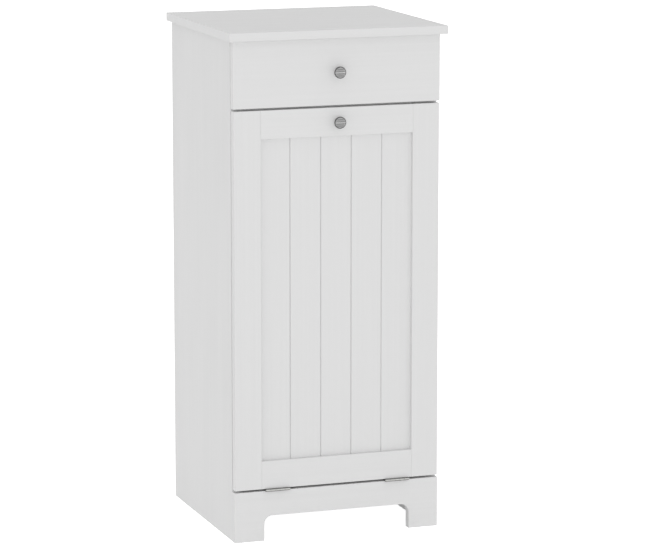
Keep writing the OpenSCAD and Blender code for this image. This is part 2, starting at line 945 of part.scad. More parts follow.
module hinge_door_screws() {
    color(nickel)
        at_places(hinge_high_screws)
            wood_screw(screw_r, hinge_screw_l, hinge_head_r, hinge_head_t);
}

// Round pads on the carcass's front edges, behind the door's and the drawer's corners
module front_bumpers() {
    color(clear_rubber)
        for (z = bumper_zs) {
            both_sides()
                translate([-board_x, carcass_y, z])
                    rotate([90, 0, 0])
                        cylinder(r = bumper_r, h = bumper_t);
        }
}

module drawer_front() {
    groove_x = drawer_in_x + drawer_groove_depth;
    color(white_board)
        difference() {
            block([-outer_x, outer_x], [face_y, front_back_y],
                [drawer_front_z0, drawer_front_z0 + drawer_front_h]);
            block([-groove_x, groove_x], [front_back_y - drawer_groove_depth, front_back_y + 1],
                [drawer_bottom_z0 - groove_play, drawer_back_z0 + groove_play]);
            at_places(drawer_cams)
                cam_holes(small_cam_reach, small_cam_r, drawer_side_t);
            knob_screw_hole(drawer_knob_z);
        }
}

module drawer_side_shape() {
    difference() {
        block([-drawer_x, -drawer_in_x], [front_back_y, drawer_back_y], [drawer_z0, drawer_z1]);
        block([-drawer_in_x - drawer_groove_depth, 0], [front_back_y - 1, drawer_back_y + 1],
            [drawer_bottom_z0 - groove_play, drawer_back_z0 + groove_play]);
        at_places(drawer_cams)
            cam_holes(small_cam_reach, small_cam_r, drawer_side_t);
        small_screw_holes(drawer_side_screws, drawer_screw_l);
        small_screw_holes(box_screws, box_screw_l);
    }
}

module drawer_left_side() {
    color(white_board)
        drawer_side_shape();
}

module drawer_right_side() {
    color(white_board)
        on_side(true)
            drawer_side_shape();
}

module drawer_back() {
    color(white_board)
        difference() {
            block([-drawer_in_x, drawer_in_x], [drawer_back_y - drawer_side_t, drawer_back_y],
                [drawer_back_z0 + groove_play, drawer_z1]);
            small_screw_holes(box_screws, box_screw_l);
        }
}

module drawer_bottom() {
    bottom_x = drawer_in_x + drawer_groove_depth - edge_play;
    color(white_board)
        block([-bottom_x, bottom_x], [front_back_y - drawer_groove_depth + edge_play, drawer_back_y],
            [drawer_bottom_z0, drawer_back_z0]);
}

module drawer_cam_locks() {
    color(zinc)
        at_places(drawer_cams)
            cam_lock(small_cam_reach, small_cam_r, drawer_side_t);
}

module drawer_cam_bolts() {
    color(zinc)
        at_places(drawer_cams)
            cam_bolt(small_cam_reach);
}

module drawer_box_screws() {
    color(zinc)
        at_places(box_screws)
            wood_screw(screw_r, box_screw_l, head_r, head_t);
}

// The angle on the left side of the drawer, whose flange rides on the front roller
module drawer_runner_shape() {
    difference() {
        union() {
            block([-drawer_x - runner_t, -drawer_x], [drawer_rail_y0, drawer_back_y],
                [drawer_rail_z0, drawer_rail_z1]);
            block([-roller_x - roller_w / 2, -drawer_x], [drawer_rail_y0, drawer_back_y],
                [drawer_flange_z, drawer_rail_z1]);
        }
        small_screw_holes(drawer_side_screws, drawer_screw_l);
        translate([-drawer_x + 1, rear_roller_y, rear_roller_z])
            rotate([0, -90, 0])
                cylinder(r = axle_r, h = runner_t + 2);
    }
}

module left_drawer_runner() {
    color(coated_white)
        drawer_runner_shape();
}

module right_drawer_runner() {
    color(coated_white)
        on_side(true)
            drawer_runner_shape();
}

module drawer_runner_screws() {
    color(zinc)
        at_places(drawer_side_screws)
            wood_screw(screw_r, drawer_screw_l, head_r, head_t);
}

// Turned knob in front of the face plane, with furrows across its flat face
module knob_at(z) {
    head_r = knob_d / 2;
    neck_r = knob_neck_d / 2;
    foot_r = neck_r + knob_foot_w;
    flat_r = head_r - knob_edge_r;
    ribbed_r = head_r - knob_rim_w;
    furrow_w = knob_rib_pitch / 2;
    furrows = floor(ribbed_r / knob_rib_pitch);
    translate([0, face_y, z])
        rotate([90, 0, 0])
            difference() {
                rotate_extrude()
                    difference() {
                        union() {
                            square([neck_r, knob_neck_l + 1]);
                            polygon([
                                [0, 0], [foot_r, 0], [foot_r, knob_foot_t], [neck_r, knob_foot_h],
                                [0, knob_foot_h]
                            ]);
                            polygon([
                                [0, knob_neck_l], [neck_r, knob_neck_l],
                                [head_r, knob_projection - knob_rim_t],
                                [head_r, knob_projection - knob_edge_r],
                                [flat_r, knob_projection], [0, knob_projection]
                            ]);
                            translate([flat_r, knob_projection - knob_edge_r])
                                circle(r = knob_edge_r);
                        }
                        translate([-knob_d, 0])
                            square([knob_d, knob_projection + 1]);
                    }
                translate([0, 0, -1])
                    cylinder(r = knob_screw_r + hole_play, h = knob_screw_reach + 1.5);
                for (i = [-furrows : furrows - 1]) {
                    rise = (i + 0.5) * knob_rib_pitch;
                    half = sqrt(pow(ribbed_r, 2) - pow(abs(rise) + furrow_w / 2, 2));
                    translate([0, rise, knob_projection])
                        cube([2 * half, furrow_w, 2 * knob_rib_depth], center = true);
                }
            }
}

// Pan-head screw from behind the front into the knob
module knob_screw_at(z) {
    translate([0, front_back_y, z])
        rotate([90, 0, 0]) {
            cylinder(r = knob_screw_r, h = board_t + knob_screw_reach);
            translate([0, 0, -knob_screw_head_t])
                difference() {
                    cylinder(r = knob_screw_head_r, h = knob_screw_head_t);
                    cube([knob_slot_l, knob_slot_w, 2 * knob_slot_depth], center = true);
                    cube([knob_slot_w, knob_slot_l, 2 * knob_slot_depth], center = true);
                }
        }
}

module knob_screw_hole(z) {
    translate([0, front_back_y + 1, z])
        rotate([90, 0, 0])
            cylinder(r = knob_screw_r + hole_play, h = board_t + 2);
}

module drawer_knob() {
    color(nickel)
        knob_at(drawer_knob_z);
}

module drawer_knob_screw() {
    color(zinc)
        knob_screw_at(drawer_knob_z);
}

module door_knob() {
    color(nickel)
        knob_at(door_knob_z);
}

module door_knob_screw() {
    color(zinc)
        knob_screw_at(door_knob_z);
}

// Outline of the groove in the door's frame, in depth
function groove_y(play) = [panel_groove_y - play, panel_groove_y + door_panel_t + play];

module door_left_stile_shape() {
    difference() {
        block([-door_x, -stile_x], [face_y, front_back_y], [door_z0, door_z1]);
        block([-stile_x - panel_tongue - edge_play, 0], groove_y(groove_play), [0, cabinet_h]);
        small_screw_holes(stay_screws, screw_l);
        small_screw_holes(socket_screws, screw_l);
    }
}

module door_left_stile() {
    color(white_board)
        door_left_stile_shape();
}

module door_right_stile() {
    color(white_board)
        on_side(true)
            door_left_stile_shape();
}

// A rail with its tongues, before the panel's groove is cut
module rail_blank(z0) {
    tongue_x = stile_x + panel_tongue;
    block([-stile_x, stile_x], [face_y, front_back_y], [z0, z0 + rail_h]);
    block([-tongue_x, tongue_x], groove_y(0), [z0, z0 + rail_h]);
}

module door_top_rail() {
    color(white_board)
        difference() {
            rail_blank(panel_z1);
            block([-door_x, door_x], groove_y(groove_play), [0, panel_z1 + panel_tongue + edge_play]);
            knob_screw_hole(door_knob_z);
            small_screw_holes(plate_screws, screw_l);
        }
}

module door_bottom_rail() {
    color(white_board)
        difference() {
            rail_blank(door_z0);
            block([-door_x, door_x], groove_y(groove_play),
                [panel_z0 - panel_tongue - edge_play, cabinet_h]);
            at_places(hinge_high_screws)
                wood_screw_hole(screw_r, hinge_screw_l, hinge_head_r, hinge_head_t);
        }
}

module door_panel() {
    panel_x = stile_x + panel_tongue;
    grooves = floor((stile_x - board_pitch / 2) / board_pitch);
    color(white_board)
        difference() {
            block([-panel_x, panel_x], groove_y(0), [panel_z0 - panel_tongue, panel_z1 + panel_tongue]);
            for (i = [-grooves - 1 : grooves]) {
                translate([(i + 0.5) * board_pitch, panel_groove_y, 0])
                    linear_extrude(height = cabinet_h)
                        polygon([
                            [-board_groove_w / 2, 0], [-board_groove_w / 2, -1], [board_groove_w / 2, -1],
                            [board_groove_w / 2, 0], [0, board_groove_depth]
                        ]);
            }
        }
}

// Curved stay on the left: an arc about the hinge pin with a slot for the stud, and a
// flange on the back of the stile
module quadrant_stay_shape() {
    end_angle = stud_angle + tilt;
    far = stay_r * 2;
    difference() {
        union() {
            intersection() {
                translate([-stay_x, hinge_y, hinge_z])
                    rotate([90, 0, 90])
                        difference() {
                            cylinder(r = stay_r + stay_w / 2, h = stay_t, $fn = 360);
                            translate([0, 0, -1])
                                cylinder(r = stay_r - stay_w / 2, h = stay_t + 2, $fn = 360);
                            rotate([0, 0, 90 - end_angle - stay_end_angle])
                                translate([-far, -far, -1])
                                    cube([2 * far, far, stay_t + 2]);
                        }
                block([-stay_x - 1, -stay_x + stay_t + 1], [front_back_y, front_back_y + far],
                    [0, cabinet_h]);
            }
            block([-stay_x, -stay_x + stay_flange_w], [front_back_y, front_back_y + stay_t],
                [stay_flange_z - stay_flange_h / 2, stay_flange_z + stay_flange_h / 2]);
        }
        translate([-stay_x - 1, hinge_y, hinge_z])
            rotate([90, 0, 90])
                rotate([0, 0, 90 - end_angle])
                    stay_slot();
        small_screw_holes(stay_screws, screw_l);
    }
}

// Slot along the stay's middle line, from its far end over the angle of the tilt
module stay_slot() {
    slot_r = stud_r + slide_play;
    rotate_extrude(angle = tilt, $fn = 360)
        translate([stay_r - slot_r, 0])
            square([2 * slot_r, stay_t + 2]);
    for (a = [0, tilt]) {
        rotate([0, 0, a])
            translate([stay_r, 0, 0])
                cylinder(r = slot_r, h = stay_t + 2);
    }
}

module left_quadrant_stay() {
    color(zinc)
        quadrant_stay_shape();
}

module right_quadrant_stay() {
    color(zinc)
        on_side(true)
            quadrant_stay_shape();
}

module door_fitting_screws() {
    color(zinc)
        at_places(concat(stay_screws, plate_screws, socket_screws))
            wood_screw(screw_r, screw_l, head_r, head_t);
}

module catch_plate() {
    color(zinc)
        difference() {
            block([-catch_plate_w / 2, catch_plate_w / 2], [front_back_y, front_back_y + catch_plate_t],
                [catch_plate_z - catch_plate_h / 2, catch_plate_z + catch_plate_h / 2]);
            small_screw_holes(plate_screws, screw_l);
        }
}

// Straight rod from one point to a point further along Y
module rod_along_y(x, y0, y1) {
    translate([x, y0, frame_z])
        rotate([-90, 0, 0])
            cylinder(r = rod_r, h = y1 - y0);
}

module bag_frame() {
    arm_y0 = front_back_y + socket_plate[1] + socket_floor;
    color(coated_white) {
        both_sides() {
            rod_along_y(-frame_x, arm_y0, frame_rear_y - frame_bend_r);
            translate([-frame_x + frame_bend_r, frame_rear_y - frame_bend_r, frame_z])
                rotate([0, 0, 90])
                    rotate_extrude(angle = 90)
                        translate([frame_bend_r, 0])
                            circle(r = rod_r, $fn = 32);
        }
        for (y = [frame_front_y, frame_rear_y]) {
            half = y == frame_rear_y ? frame_x - frame_bend_r : frame_x;
            translate([-half, y, frame_z])
                rotate([0, 90, 0])
                    cylinder(r = rod_r, h = 2 * half);
        }
    }
}

module bag_frame_sockets() {
    color(grey_plastic)
        difference() {
            both_sides()
                union() {
                    translate([-frame_x - socket_plate[0] / 2, front_back_y, frame_z - socket_plate[2] / 2])
                        cube(socket_plate);
                    translate([-frame_x, front_back_y, frame_z])
                        rotate([-90, 0, 0])
                            cylinder(r = socket_boss_r, h = socket_plate[1] + socket_boss_l);
                }
            both_sides()
                rod_bore();
            small_screw_holes(socket_screws, screw_l);
        }
}

module rod_bore() {
    translate([-frame_x, front_back_y + socket_plate[1] + socket_floor - hole_play, frame_z])
        rotate([-90, 0, 0])
            cylinder(r = rod_r + hole_play, h = socket_boss_l + 1);
}

// Block with rounded upright corners
module rounded_block(x, y, z, r) {
    for (dx = [-x + r, x - r]) {
        for (dy = [y[0] + r, y[1] - r]) {
            translate([dx, dy, z[0]])
                cylinder(r = r, h = z[1] - z[0]);
        }
    }
    block([-x + r, x - r], y, z);
    block([-x, x], [y[0] + r, y[1] - r], z);
}

module laundry_bag() {
    color(linen)
        difference() {
            rounded_block(bag_x, [bag_y0, bag_y1], [bag_z0, bag_z1], bag_corner_r);
            rounded_block(bag_x - bag_t, [bag_y0 + bag_t, bag_y1 - bag_t], [bag_z0 + bag_t, bag_z1 + 1],
                bag_corner_r - bag_t);
        }
}

top_panel();
left_side_panel();
right_side_panel();
back_panel();
bottom_panel();
divider_panel();
front_apron();
cam_locks();
cam_bolts();
wooden_dowels();
back_panel_nails();
left_cabinet_runner();
right_cabinet_runner();
cabinet_roller_axles();
cabinet_fitting_screws();
magnetic_catch();
left_stay_stud();
right_stay_stud();
left_hinge_fixed_leaf();
right_hinge_fixed_leaf();
left_hinge_pin();
right_hinge_pin();
hinge_fixed_screws();
front_bumpers();
drawer_front();
drawer_left_side();
drawer_right_side();
drawer_back();
drawer_bottom();
drawer_cam_locks();
drawer_cam_bolts();
drawer_box_screws();
left_drawer_runner();
right_drawer_runner();
drawer_roller_axles();
drawer_runner_screws();
drawer_knob();
drawer_knob_screw();
left_front_roller();
right_front_roller();
left_rear_roller();
right_rear_roller();
door_left_stile();
door_right_stile();
door_top_rail();
door_bottom_rail();
door_panel();
door_knob();
door_knob_screw();
left_hinge_door_leaf();
right_hinge_door_leaf();
hinge_door_screws();
left_quadrant_stay();
right_quadrant_stay();
door_fitting_screws();
catch_plate();
bag_frame();
bag_frame_sockets();
laundry_bag();
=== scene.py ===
"""Finishes a tilt-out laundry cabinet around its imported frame: a slim white cupboard with a drawer over
a boarded door, which tilts forward on two butt hinges and carries a laundry bag in a steel frame.
Metres, +Z up, the fronts face -Y."""
import json
import math

import bmesh
import bpy
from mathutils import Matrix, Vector

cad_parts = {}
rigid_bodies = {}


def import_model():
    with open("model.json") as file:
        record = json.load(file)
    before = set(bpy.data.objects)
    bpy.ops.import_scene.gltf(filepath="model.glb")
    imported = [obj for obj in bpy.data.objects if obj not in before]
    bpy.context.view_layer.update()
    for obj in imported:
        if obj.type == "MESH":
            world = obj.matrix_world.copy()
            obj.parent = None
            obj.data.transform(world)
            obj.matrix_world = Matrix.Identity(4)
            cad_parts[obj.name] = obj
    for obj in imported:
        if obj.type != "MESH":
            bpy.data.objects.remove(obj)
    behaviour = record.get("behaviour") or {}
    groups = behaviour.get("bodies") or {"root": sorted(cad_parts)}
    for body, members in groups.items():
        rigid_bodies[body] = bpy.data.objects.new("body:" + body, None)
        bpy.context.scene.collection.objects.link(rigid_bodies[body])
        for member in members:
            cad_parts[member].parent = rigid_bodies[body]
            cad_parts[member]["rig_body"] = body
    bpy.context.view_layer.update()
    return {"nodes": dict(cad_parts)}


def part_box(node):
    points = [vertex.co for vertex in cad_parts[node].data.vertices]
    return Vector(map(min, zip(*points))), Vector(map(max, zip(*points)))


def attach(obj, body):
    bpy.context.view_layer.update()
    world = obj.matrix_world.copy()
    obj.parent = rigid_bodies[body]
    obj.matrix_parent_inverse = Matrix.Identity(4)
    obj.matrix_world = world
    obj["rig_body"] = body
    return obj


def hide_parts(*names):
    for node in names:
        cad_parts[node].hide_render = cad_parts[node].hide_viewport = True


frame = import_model()
nodes = frame["nodes"]
MM = 0.001

# Sizes that the finishes add to the frame
BOARD_EASE = 0.7 * MM
DOOR_EASE = 0.45 * MM
FRONT_BACK_EASE = 1.8 * MM
HARDBOARD_EASE = 0.2 * MM
METAL_EASE = 0.15 * MM
RUNNER_EASE = 0.25 * MM
PLASTIC_EASE = 0.4 * MM
RUBBER_EASE = 0.2 * MM
DOWEL_EASE = 0.3 * MM

# Tolerances of welded points, of flat faces in degrees, of edges on a back and of the bag's outline
WELD = 0.001 * MM
FLAT_WITHIN = 0.6
BACK_WITHIN = 0.01 * MM
LEAST_STRAIGHT = 0.01 * MM
ROUNDING = 1e-12

# Patterns of the finishes, and the usual range of a noise
SCREEN_PITCH = 1.8 * MM
THREAD_PITCH = 1.6 * MM
NOISE_LOW = 0.3
NOISE_HIGH = 0.7
SLUB_LOW = 0.36
SLUB_HIGH = 0.64

# Grooves of the boarded door panel
GROOVE_COUNT = 4
GROOVE_PITCH = 56.4 * MM
GROOVE_WIDTH = 2.5 * MM
GROOVE_DEPTH = 2.25 * MM
GROOVE_STEP = 0.25 * MM
GROOVE_SLOPE = 1.2

# Hinge barrels: their radius, the height of their pins and, as shares of the radius, the painted band: a
# painted highlight along the middle, between painted shade above and below
BARREL_R = 2.5 * MM
HINGE_Z = (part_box("left_hinge_pin")[0].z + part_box("left_hinge_pin")[1].z) / 2
PAINTED_BAND_MIDDLE = 0.2
PAINTED_HIGHLIGHT_REACH = 0.3
PAINTED_SHADE_REACH = 0.48

# Knob turning: radii from the axis and depths from the board's face
KNOB_PARTS = 96
KNOB_FOOT_R = 5.5 * MM
KNOB_FOOT_T = 1.4 * MM
KNOB_FOOT_EDGE_R = 0.4 * MM
KNOB_COVE_R = 0.9 * MM
KNOB_COVE_INSET = 0.3 * MM
KNOB_WAIST_R = 4.2 * MM
KNOB_WAIST_AT = 4.5 * MM
KNOB_NECK_R = 4.5 * MM
KNOB_NECK_END = 7 * MM
KNOB_FLARE_PARTS = 9
KNOB_FLARE_SWELL = 0.35
KNOB_LIP_R = 0.3 * MM
KNOB_RIM_T = 3 * MM
KNOB_RIM_W = 1.3 * MM
KNOB_EDGE_R = 1 * MM
KNOB_STEP = 0.1 * MM
KNOB_BEAD_GAP = 0.2 * MM
KNOB_BEAD_R = 0.4 * MM
KNOB_DISH = 0.8 * MM
KNOB_RIB_PITCH = 3.6 * MM
KNOB_RIB_WIDTH = 2.2 * MM
KNOB_RIB_SEAT = 0.2 * MM
KNOB_RIB_SHY = 0.05 * MM
KNOB_NECK, KNOB_RIM, KNOB_BEAD, KNOB_FURROW = range(4)

# Laundry bag: its cloth, its folds and how softly it stops at the space that it has
CLOTH_T = 1.1 * MM
BAG_COLUMNS = 112
BAG_ROWS = 46
BAG_BASE_RINGS = 11
BAG_BASE_LIFT = 14 * MM
BAG_CORNER_R = 16.7 * MM
BAG_TOP_GAP = 1 * MM
BAG_HEM = 20 * MM
BAG_SLACK = 4 * MM
BROAD_FOLDS = 9
BROAD_UNEVEN = 2.1
FINE_FOLDS = 14
FINE_SHARE = 0.6
FINE_START = 1.3
FINE_SHIFT = 2
FOLD_INSET = 1.2
BAG_SOFT = 1.5 * MM
BAG_SOFT_WALL = 3 * BAG_SOFT
BAG_SOFT_FLOOR = 6 * BAG_SOFT
HANG_FRAMES = 26
CLOTH_SETTINGS = {
    "quality": 6, "mass": 0.25, "air_damping": 2,
    "tension_stiffness": 30, "tension_damping": 10,
    "compression_stiffness": 30, "compression_damping": 10,
    "shear_stiffness": 12, "bending_stiffness": 0.6,
}

# Binding of the bag's rim over the rods, and its stitches
FRAME_BEND_R = 20 * MM
FRONT_ROD_GAP = 0.3 * MM
FRONT_ROD_INSET = 1 * MM
BINDING_START = 3 * MM
BINDING_T = 0.9 * MM
BINDING_INSIDE = 5.5 * MM
BINDING_OUTSIDE = 3.05 * MM
ARM_STEPS = 12
BEND_STEPS = 9
FRONT_STEPS = 16
STITCH_PITCH = 4.5 * MM
STITCH_LENGTH = 3.2 * MM
STITCH_R = 0.35 * MM
STITCH_DROP = 23.5 * MM
BASE_STITCH_LIFT = 6 * MM

# Camera
PHOTO_WIDTH = 650
FOCAL_PIXELS = 3290.24
SENSOR_WIDTH = 36.0
CAMERA_PLACE = (-1.88294, -5.51058, 1.50087)
CAMERA_YAW = 0.3354
CAMERA_PITCH = 0.1807

# Lights and stage
AMBIENT = 0.797
LAMP_PLACE = (-1.5, -6.0, 0.35)
LAMP_AIM = (0, 0, 0.45)
LAMP_SIZE = 3.6
LAMP_POWER = 84.0
FLOOR_SIZE = 30.0
FLOOR_ALBEDO = 0.92
FLOOR_GLOW = 0.8
FLOOR_LIFT = 0.13


def make_camera():
    """The photograph's viewpoint, level to the left and right and pitched down onto the cabinet."""
    data = bpy.data.cameras.new("camera")
    data.sensor_width = SENSOR_WIDTH
    data.lens = FOCAL_PIXELS / PHOTO_WIDTH * SENSOR_WIDTH
    camera = bpy.data.objects.new("camera", data)
    camera.location = CAMERA_PLACE
    camera.rotation_euler = (math.pi / 2 - CAMERA_PITCH, 0, -CAMERA_YAW)
    bpy.context.scene.collection.objects.link(camera)
    bpy.context.scene.camera = camera


# Node graphs and materials
class Graph:
    """A node tree that grows a node at a time. Its sockets take values or the outputs of other nodes."""

    def __init__(self, tree):
        self.tree = tree

    def set(self, socket, value):
        if isinstance(value, bpy.types.NodeSocket):
            self.tree.links.new(value, socket)
        else:
            socket.default_value = value

    def add(self, kind, inputs=None, **settings):
        node = self.tree.nodes.new(kind)
        for name, value in settings.items():
            setattr(node, name, value)
        for key, value in (inputs or {}).items():
            self.set(node.inputs[key], value)
        return node

    def math(self, operation, *values):
        node = self.tree.nodes.new("ShaderNodeMath")
        node.operation = operation
        for socket, value in zip(node.inputs, values):
            self.set(socket, value)
        return node.outputs[0]

    def vector(self, x=0.0, y=0.0, z=0.0):
        return self.add("ShaderNodeCombineXYZ", {"X": x, "Y": y, "Z": z}).outputs[0]

    def parts(self, vector):
        """The outputs X, Y and Z of a vector."""
        return self.add("ShaderNodeSeparateXYZ", {"Vector": vector}).outputs


def start_graph(owner):
    """An empty node tree for a material or a world."""
    owner.use_nodes = True
    owner.node_tree.nodes.clear()
    return Graph(owner.node_tree)


def srgb(red, green, blue):
    """The linear colour of an sRGB colour from 0 to 255."""
    def linear(c):
        c = c / 255
        return c / 12.92 if c <= 0.04045 else ((c + 0.055) / 1.055) ** 2.4
    return (linear(red), linear(green), linear(blue), 1)


def start_material(name, roughness, metallic=0.0, specular=0.5):
    """A new material, its graph and its one shader."""
    material = bpy.data.materials.new(name)
    graph = start_graph(material)
    shader = graph.add("ShaderNodeBsdfPrincipled", {
        "Roughness": roughness, "Metallic": metallic, "Specular IOR Level": specular
    })
    graph.add("ShaderNodeOutputMaterial", {"Surface": shader.outputs["BSDF"]})
    return material, graph, shader


def object_place(graph):
    return graph.add("ShaderNodeTexCoord").outputs["Object"]


def object_noise(graph, scale, detail=3.0):
    """Noise in object space, with its own scale per metre along each axis."""
    stretched = graph.add("ShaderNodeMapping", {"Vector": object_place(graph), "Scale": scale})
    return graph.add("ShaderNodeTexNoise", {
        "Vector": stretched.outputs["Vector"], "Scale": 1.0, "Detail": detail, "Roughness": 0.55
    }).outputs["Fac"]


def two_tones(graph, fac, dark, light, low=NOISE_LOW, high=NOISE_HIGH):
    """A ramp between two sRGB tones, for a fac from low to high."""
    ramp = graph.add("ShaderNodeValToRGB", {"Fac": fac})
    ramp.color_ramp.elements[0].position = low
    ramp.color_ramp.elements[0].color = srgb(*dark)
    ramp.color_ramp.elements[1].position = high
    ramp.color_ramp.elements[1].color = srgb(*light)
    return ramp.outputs["Color"]


def spread(graph, fac, low, high):
    """The usual range of a noise mapped to the range from low to high."""
    return graph.add("ShaderNodeMapRange", {
        "Value": fac, "From Min": NOISE_LOW, "From Max": NOISE_HIGH, "To Min": low, "To Max": high
    }).outputs["Result"]


def bump(graph, shader, height, distance, strength=1.0):
    """Bumps the shader by a height, where 1 stands for the distance in metres."""
    node = graph.add("ShaderNodeBump", {"Height": height, "Distance": distance, "Strength": strength})
    graph.set(shader.inputs["Normal"], node.outputs["Normal"])


def along(axis, across, length):
    """Noise scales for a grain that runs along one axis."""
    return tuple(length if a == axis else across for a in "xyz")


def white_melamine(axis):
    """White foil on board, with a faint embossed grain along one axis."""
    material, graph, shader = start_material(f"white_melamine_{axis}", 0.5, specular=0.3)
    streaks = object_noise(graph, along(axis, 210, 2.2), detail=4)
    graph.set(shader.inputs["Base Color"], two_tones(graph, streaks, (222, 222, 222), (224, 224, 224)))
    sheen = object_noise(graph, along(axis, 60, 4))
    graph.set(shader.inputs["Roughness"], spread(graph, sheen, 0.46, 0.56))
    pores = object_noise(graph, along(axis, 1300, 55), detail=2)
    bump(graph, shader, pores, 0.04 * MM, 0.5)
    return material


def screened_hardboard():
    """Off-white hardboard, with the fine screen pattern of its rougher face."""
    material, graph, shader = start_material("screened_hardboard", 0.7, specular=0.25)
    fibres = object_noise(graph, (220, 220, 160), detail=5)
    graph.set(shader.inputs["Base Color"], two_tones(graph, fibres, (206, 203, 197), (218, 216, 212)))
    parts = graph.parts(object_place(graph))
    turn = 2 * math.pi / SCREEN_PITCH
    across, upright = [graph.math("SINE", graph.math("MULTIPLY", parts[axis], turn)) for axis in "XZ"]
    screen = graph.math("MULTIPLY", across, upright)
    height = graph.math("ADD", screen, graph.math("MULTIPLY", fibres, 1.5))
    bump(graph, shader, height, 0.12 * MM, 0.6)
    return material


def start_brushed(name, roughness):
    """A new metal brushed along X: its material, graph and shader, and its lines as a noise."""
    material, graph, shader = start_material(name, roughness, metallic=1.0)
    lines = object_noise(graph, along("x", 2600, 60), detail=3)
    graph.set(shader.inputs["Roughness"], spread(graph, lines, roughness - 0.06, roughness + 0.06))
    bump(graph, shader, lines, 0.03 * MM, 0.5)
    return material, graph, shader, lines


def brushed_metal(name, dark, light, roughness):
    """Metal with fine brushed lines in two close greys."""
    material, graph, shader, lines = start_brushed(name, roughness)
    graph.set(shader.inputs["Base Color"], two_tones(graph, lines, [dark] * 3, [light] * 3))
    return material


def nickel_with_painted_shade():
    """Nickel plate on the hinges, bright along the front of the barrels as a painted highlight and darker
    towards the gaps as painted shade.
    """
    material, graph, shader, lines = start_brushed("nickel_steel", 0.34)
    height = graph.parts(object_place(graph))["Z"]
    # Painted shade: the plate tone turns to a dark tone with height away from just above the barrel's
    # axis, darkening the barrel above and below towards the gaps.
    away = graph.math("ABSOLUTE", graph.math("SUBTRACT", height, HINGE_Z + BARREL_R * PAINTED_BAND_MIDDLE))
    painted_shade_share = graph.add("ShaderNodeMapRange", {
        "Value": away, "From Min": BARREL_R * PAINTED_HIGHLIGHT_REACH, "From Max": BARREL_R * PAINTED_SHADE_REACH,
        "To Min": 0.0, "To Max": 1.0
    }).outputs["Result"]
    mix = graph.add("ShaderNodeMix", data_type="RGBA")
    graph.set(mix.inputs["Factor"], painted_shade_share)
    plate, shaded_tone = [socket for socket in mix.inputs if socket.type == "RGBA"]
    graph.set(plate, two_tones(graph, lines, (172, 172, 170), (194, 194, 192)))
    graph.set(shaded_tone, two_tones(graph, lines, (108, 108, 106), (130, 130, 128)))
    graph.set(shader.inputs["Base Color"], [out for out in mix.outputs if out.type == "RGBA"][0])
    return material


def zinc_plate():
    """Bright zinc with a faint mottle."""
    material, graph, shader = start_material("zinc_plate", 0.38, metallic=1.0)
    mottle = object_noise(graph, (380, 380, 380), detail=4)
    graph.set(shader.inputs["Base Color"], two_tones(graph, mottle, (176, 180, 186), (200, 203, 207)))
    graph.set(shader.inputs["Roughness"], spread(graph, mottle, 0.3, 0.46))
    bump(graph, shader, mottle, 0.03 * MM, 0.35)
    return material


def coated(name, dark, light, roughness, peel=900, depth=0.05 * MM, specular=0.5):
    """A smooth coat or moulding with a fine orange peel."""
    material, graph, shader = start_material(name, roughness, specular=specular)
    skin = object_noise(graph, (peel, peel, peel), detail=2)
    cloud = object_noise(graph, (40, 40, 40), detail=3)
    graph.set(shader.inputs["Base Color"], two_tones(graph, cloud, dark, light))
    graph.set(shader.inputs["Roughness"], spread(graph, cloud, roughness - 0.05, roughness + 0.05))
    bump(graph, shader, skin, depth, 0.4)
    return material


def beech_wood():
    """Pale brown wood with its grain along X."""
    material, graph, shader = start_material("beech_wood", 0.6)
    grain = object_noise(graph, (60, 900, 900), detail=4)
    graph.set(shader.inputs["Base Color"], two_tones(graph, grain, (188, 148, 104), (216, 182, 138)))
    bump(graph, shader, grain, 0.08 * MM, 0.5)
    return material


def linen_weave():
    """Plain-woven cloth on the piece's own UV map, which is in metres."""
    material, graph, shader = start_material("linen_weave", 0.85, specular=0.2)
    shader.inputs["Sheen Weight"].default_value = 0.25
    shader.inputs["Sheen Roughness"].default_value = 0.5
    cloth = graph.add("ShaderNodeUVMap", uv_map="cloth").outputs["UV"]
    parts = graph.parts(cloth)
    turn = 2 * math.pi / THREAD_PITCH
    warp, weft = [graph.math("SINE", graph.math("MULTIPLY", parts[axis], turn)) for axis in "XY"]
    slubs = []
    for scale in ((700, 18, 1), (18, 700, 1)):
        stretched = graph.add("ShaderNodeMapping", {"Vector": cloth, "Scale": scale}).outputs["Vector"]
        noise = graph.add("ShaderNodeTexNoise", {"Vector": stretched, "Scale": 1.0, "Detail": 3.0})
        slubs.append(noise.outputs["Fac"])
    slub = graph.math("MULTIPLY", graph.math("ADD", slubs[0], slubs[1]), 0.5)
    colour = two_tones(graph, slub, (196, 188, 172), (222, 216, 204), SLUB_LOW, SLUB_HIGH)
    graph.set(shader.inputs["Base Color"], colour)
    over = graph.math("MULTIPLY", warp, weft)
    height = graph.math("ADD", graph.math("MULTIPLY", over, 0.5), slub)
    bump(graph, shader, height, 0.25 * MM, 0.6)
    return material


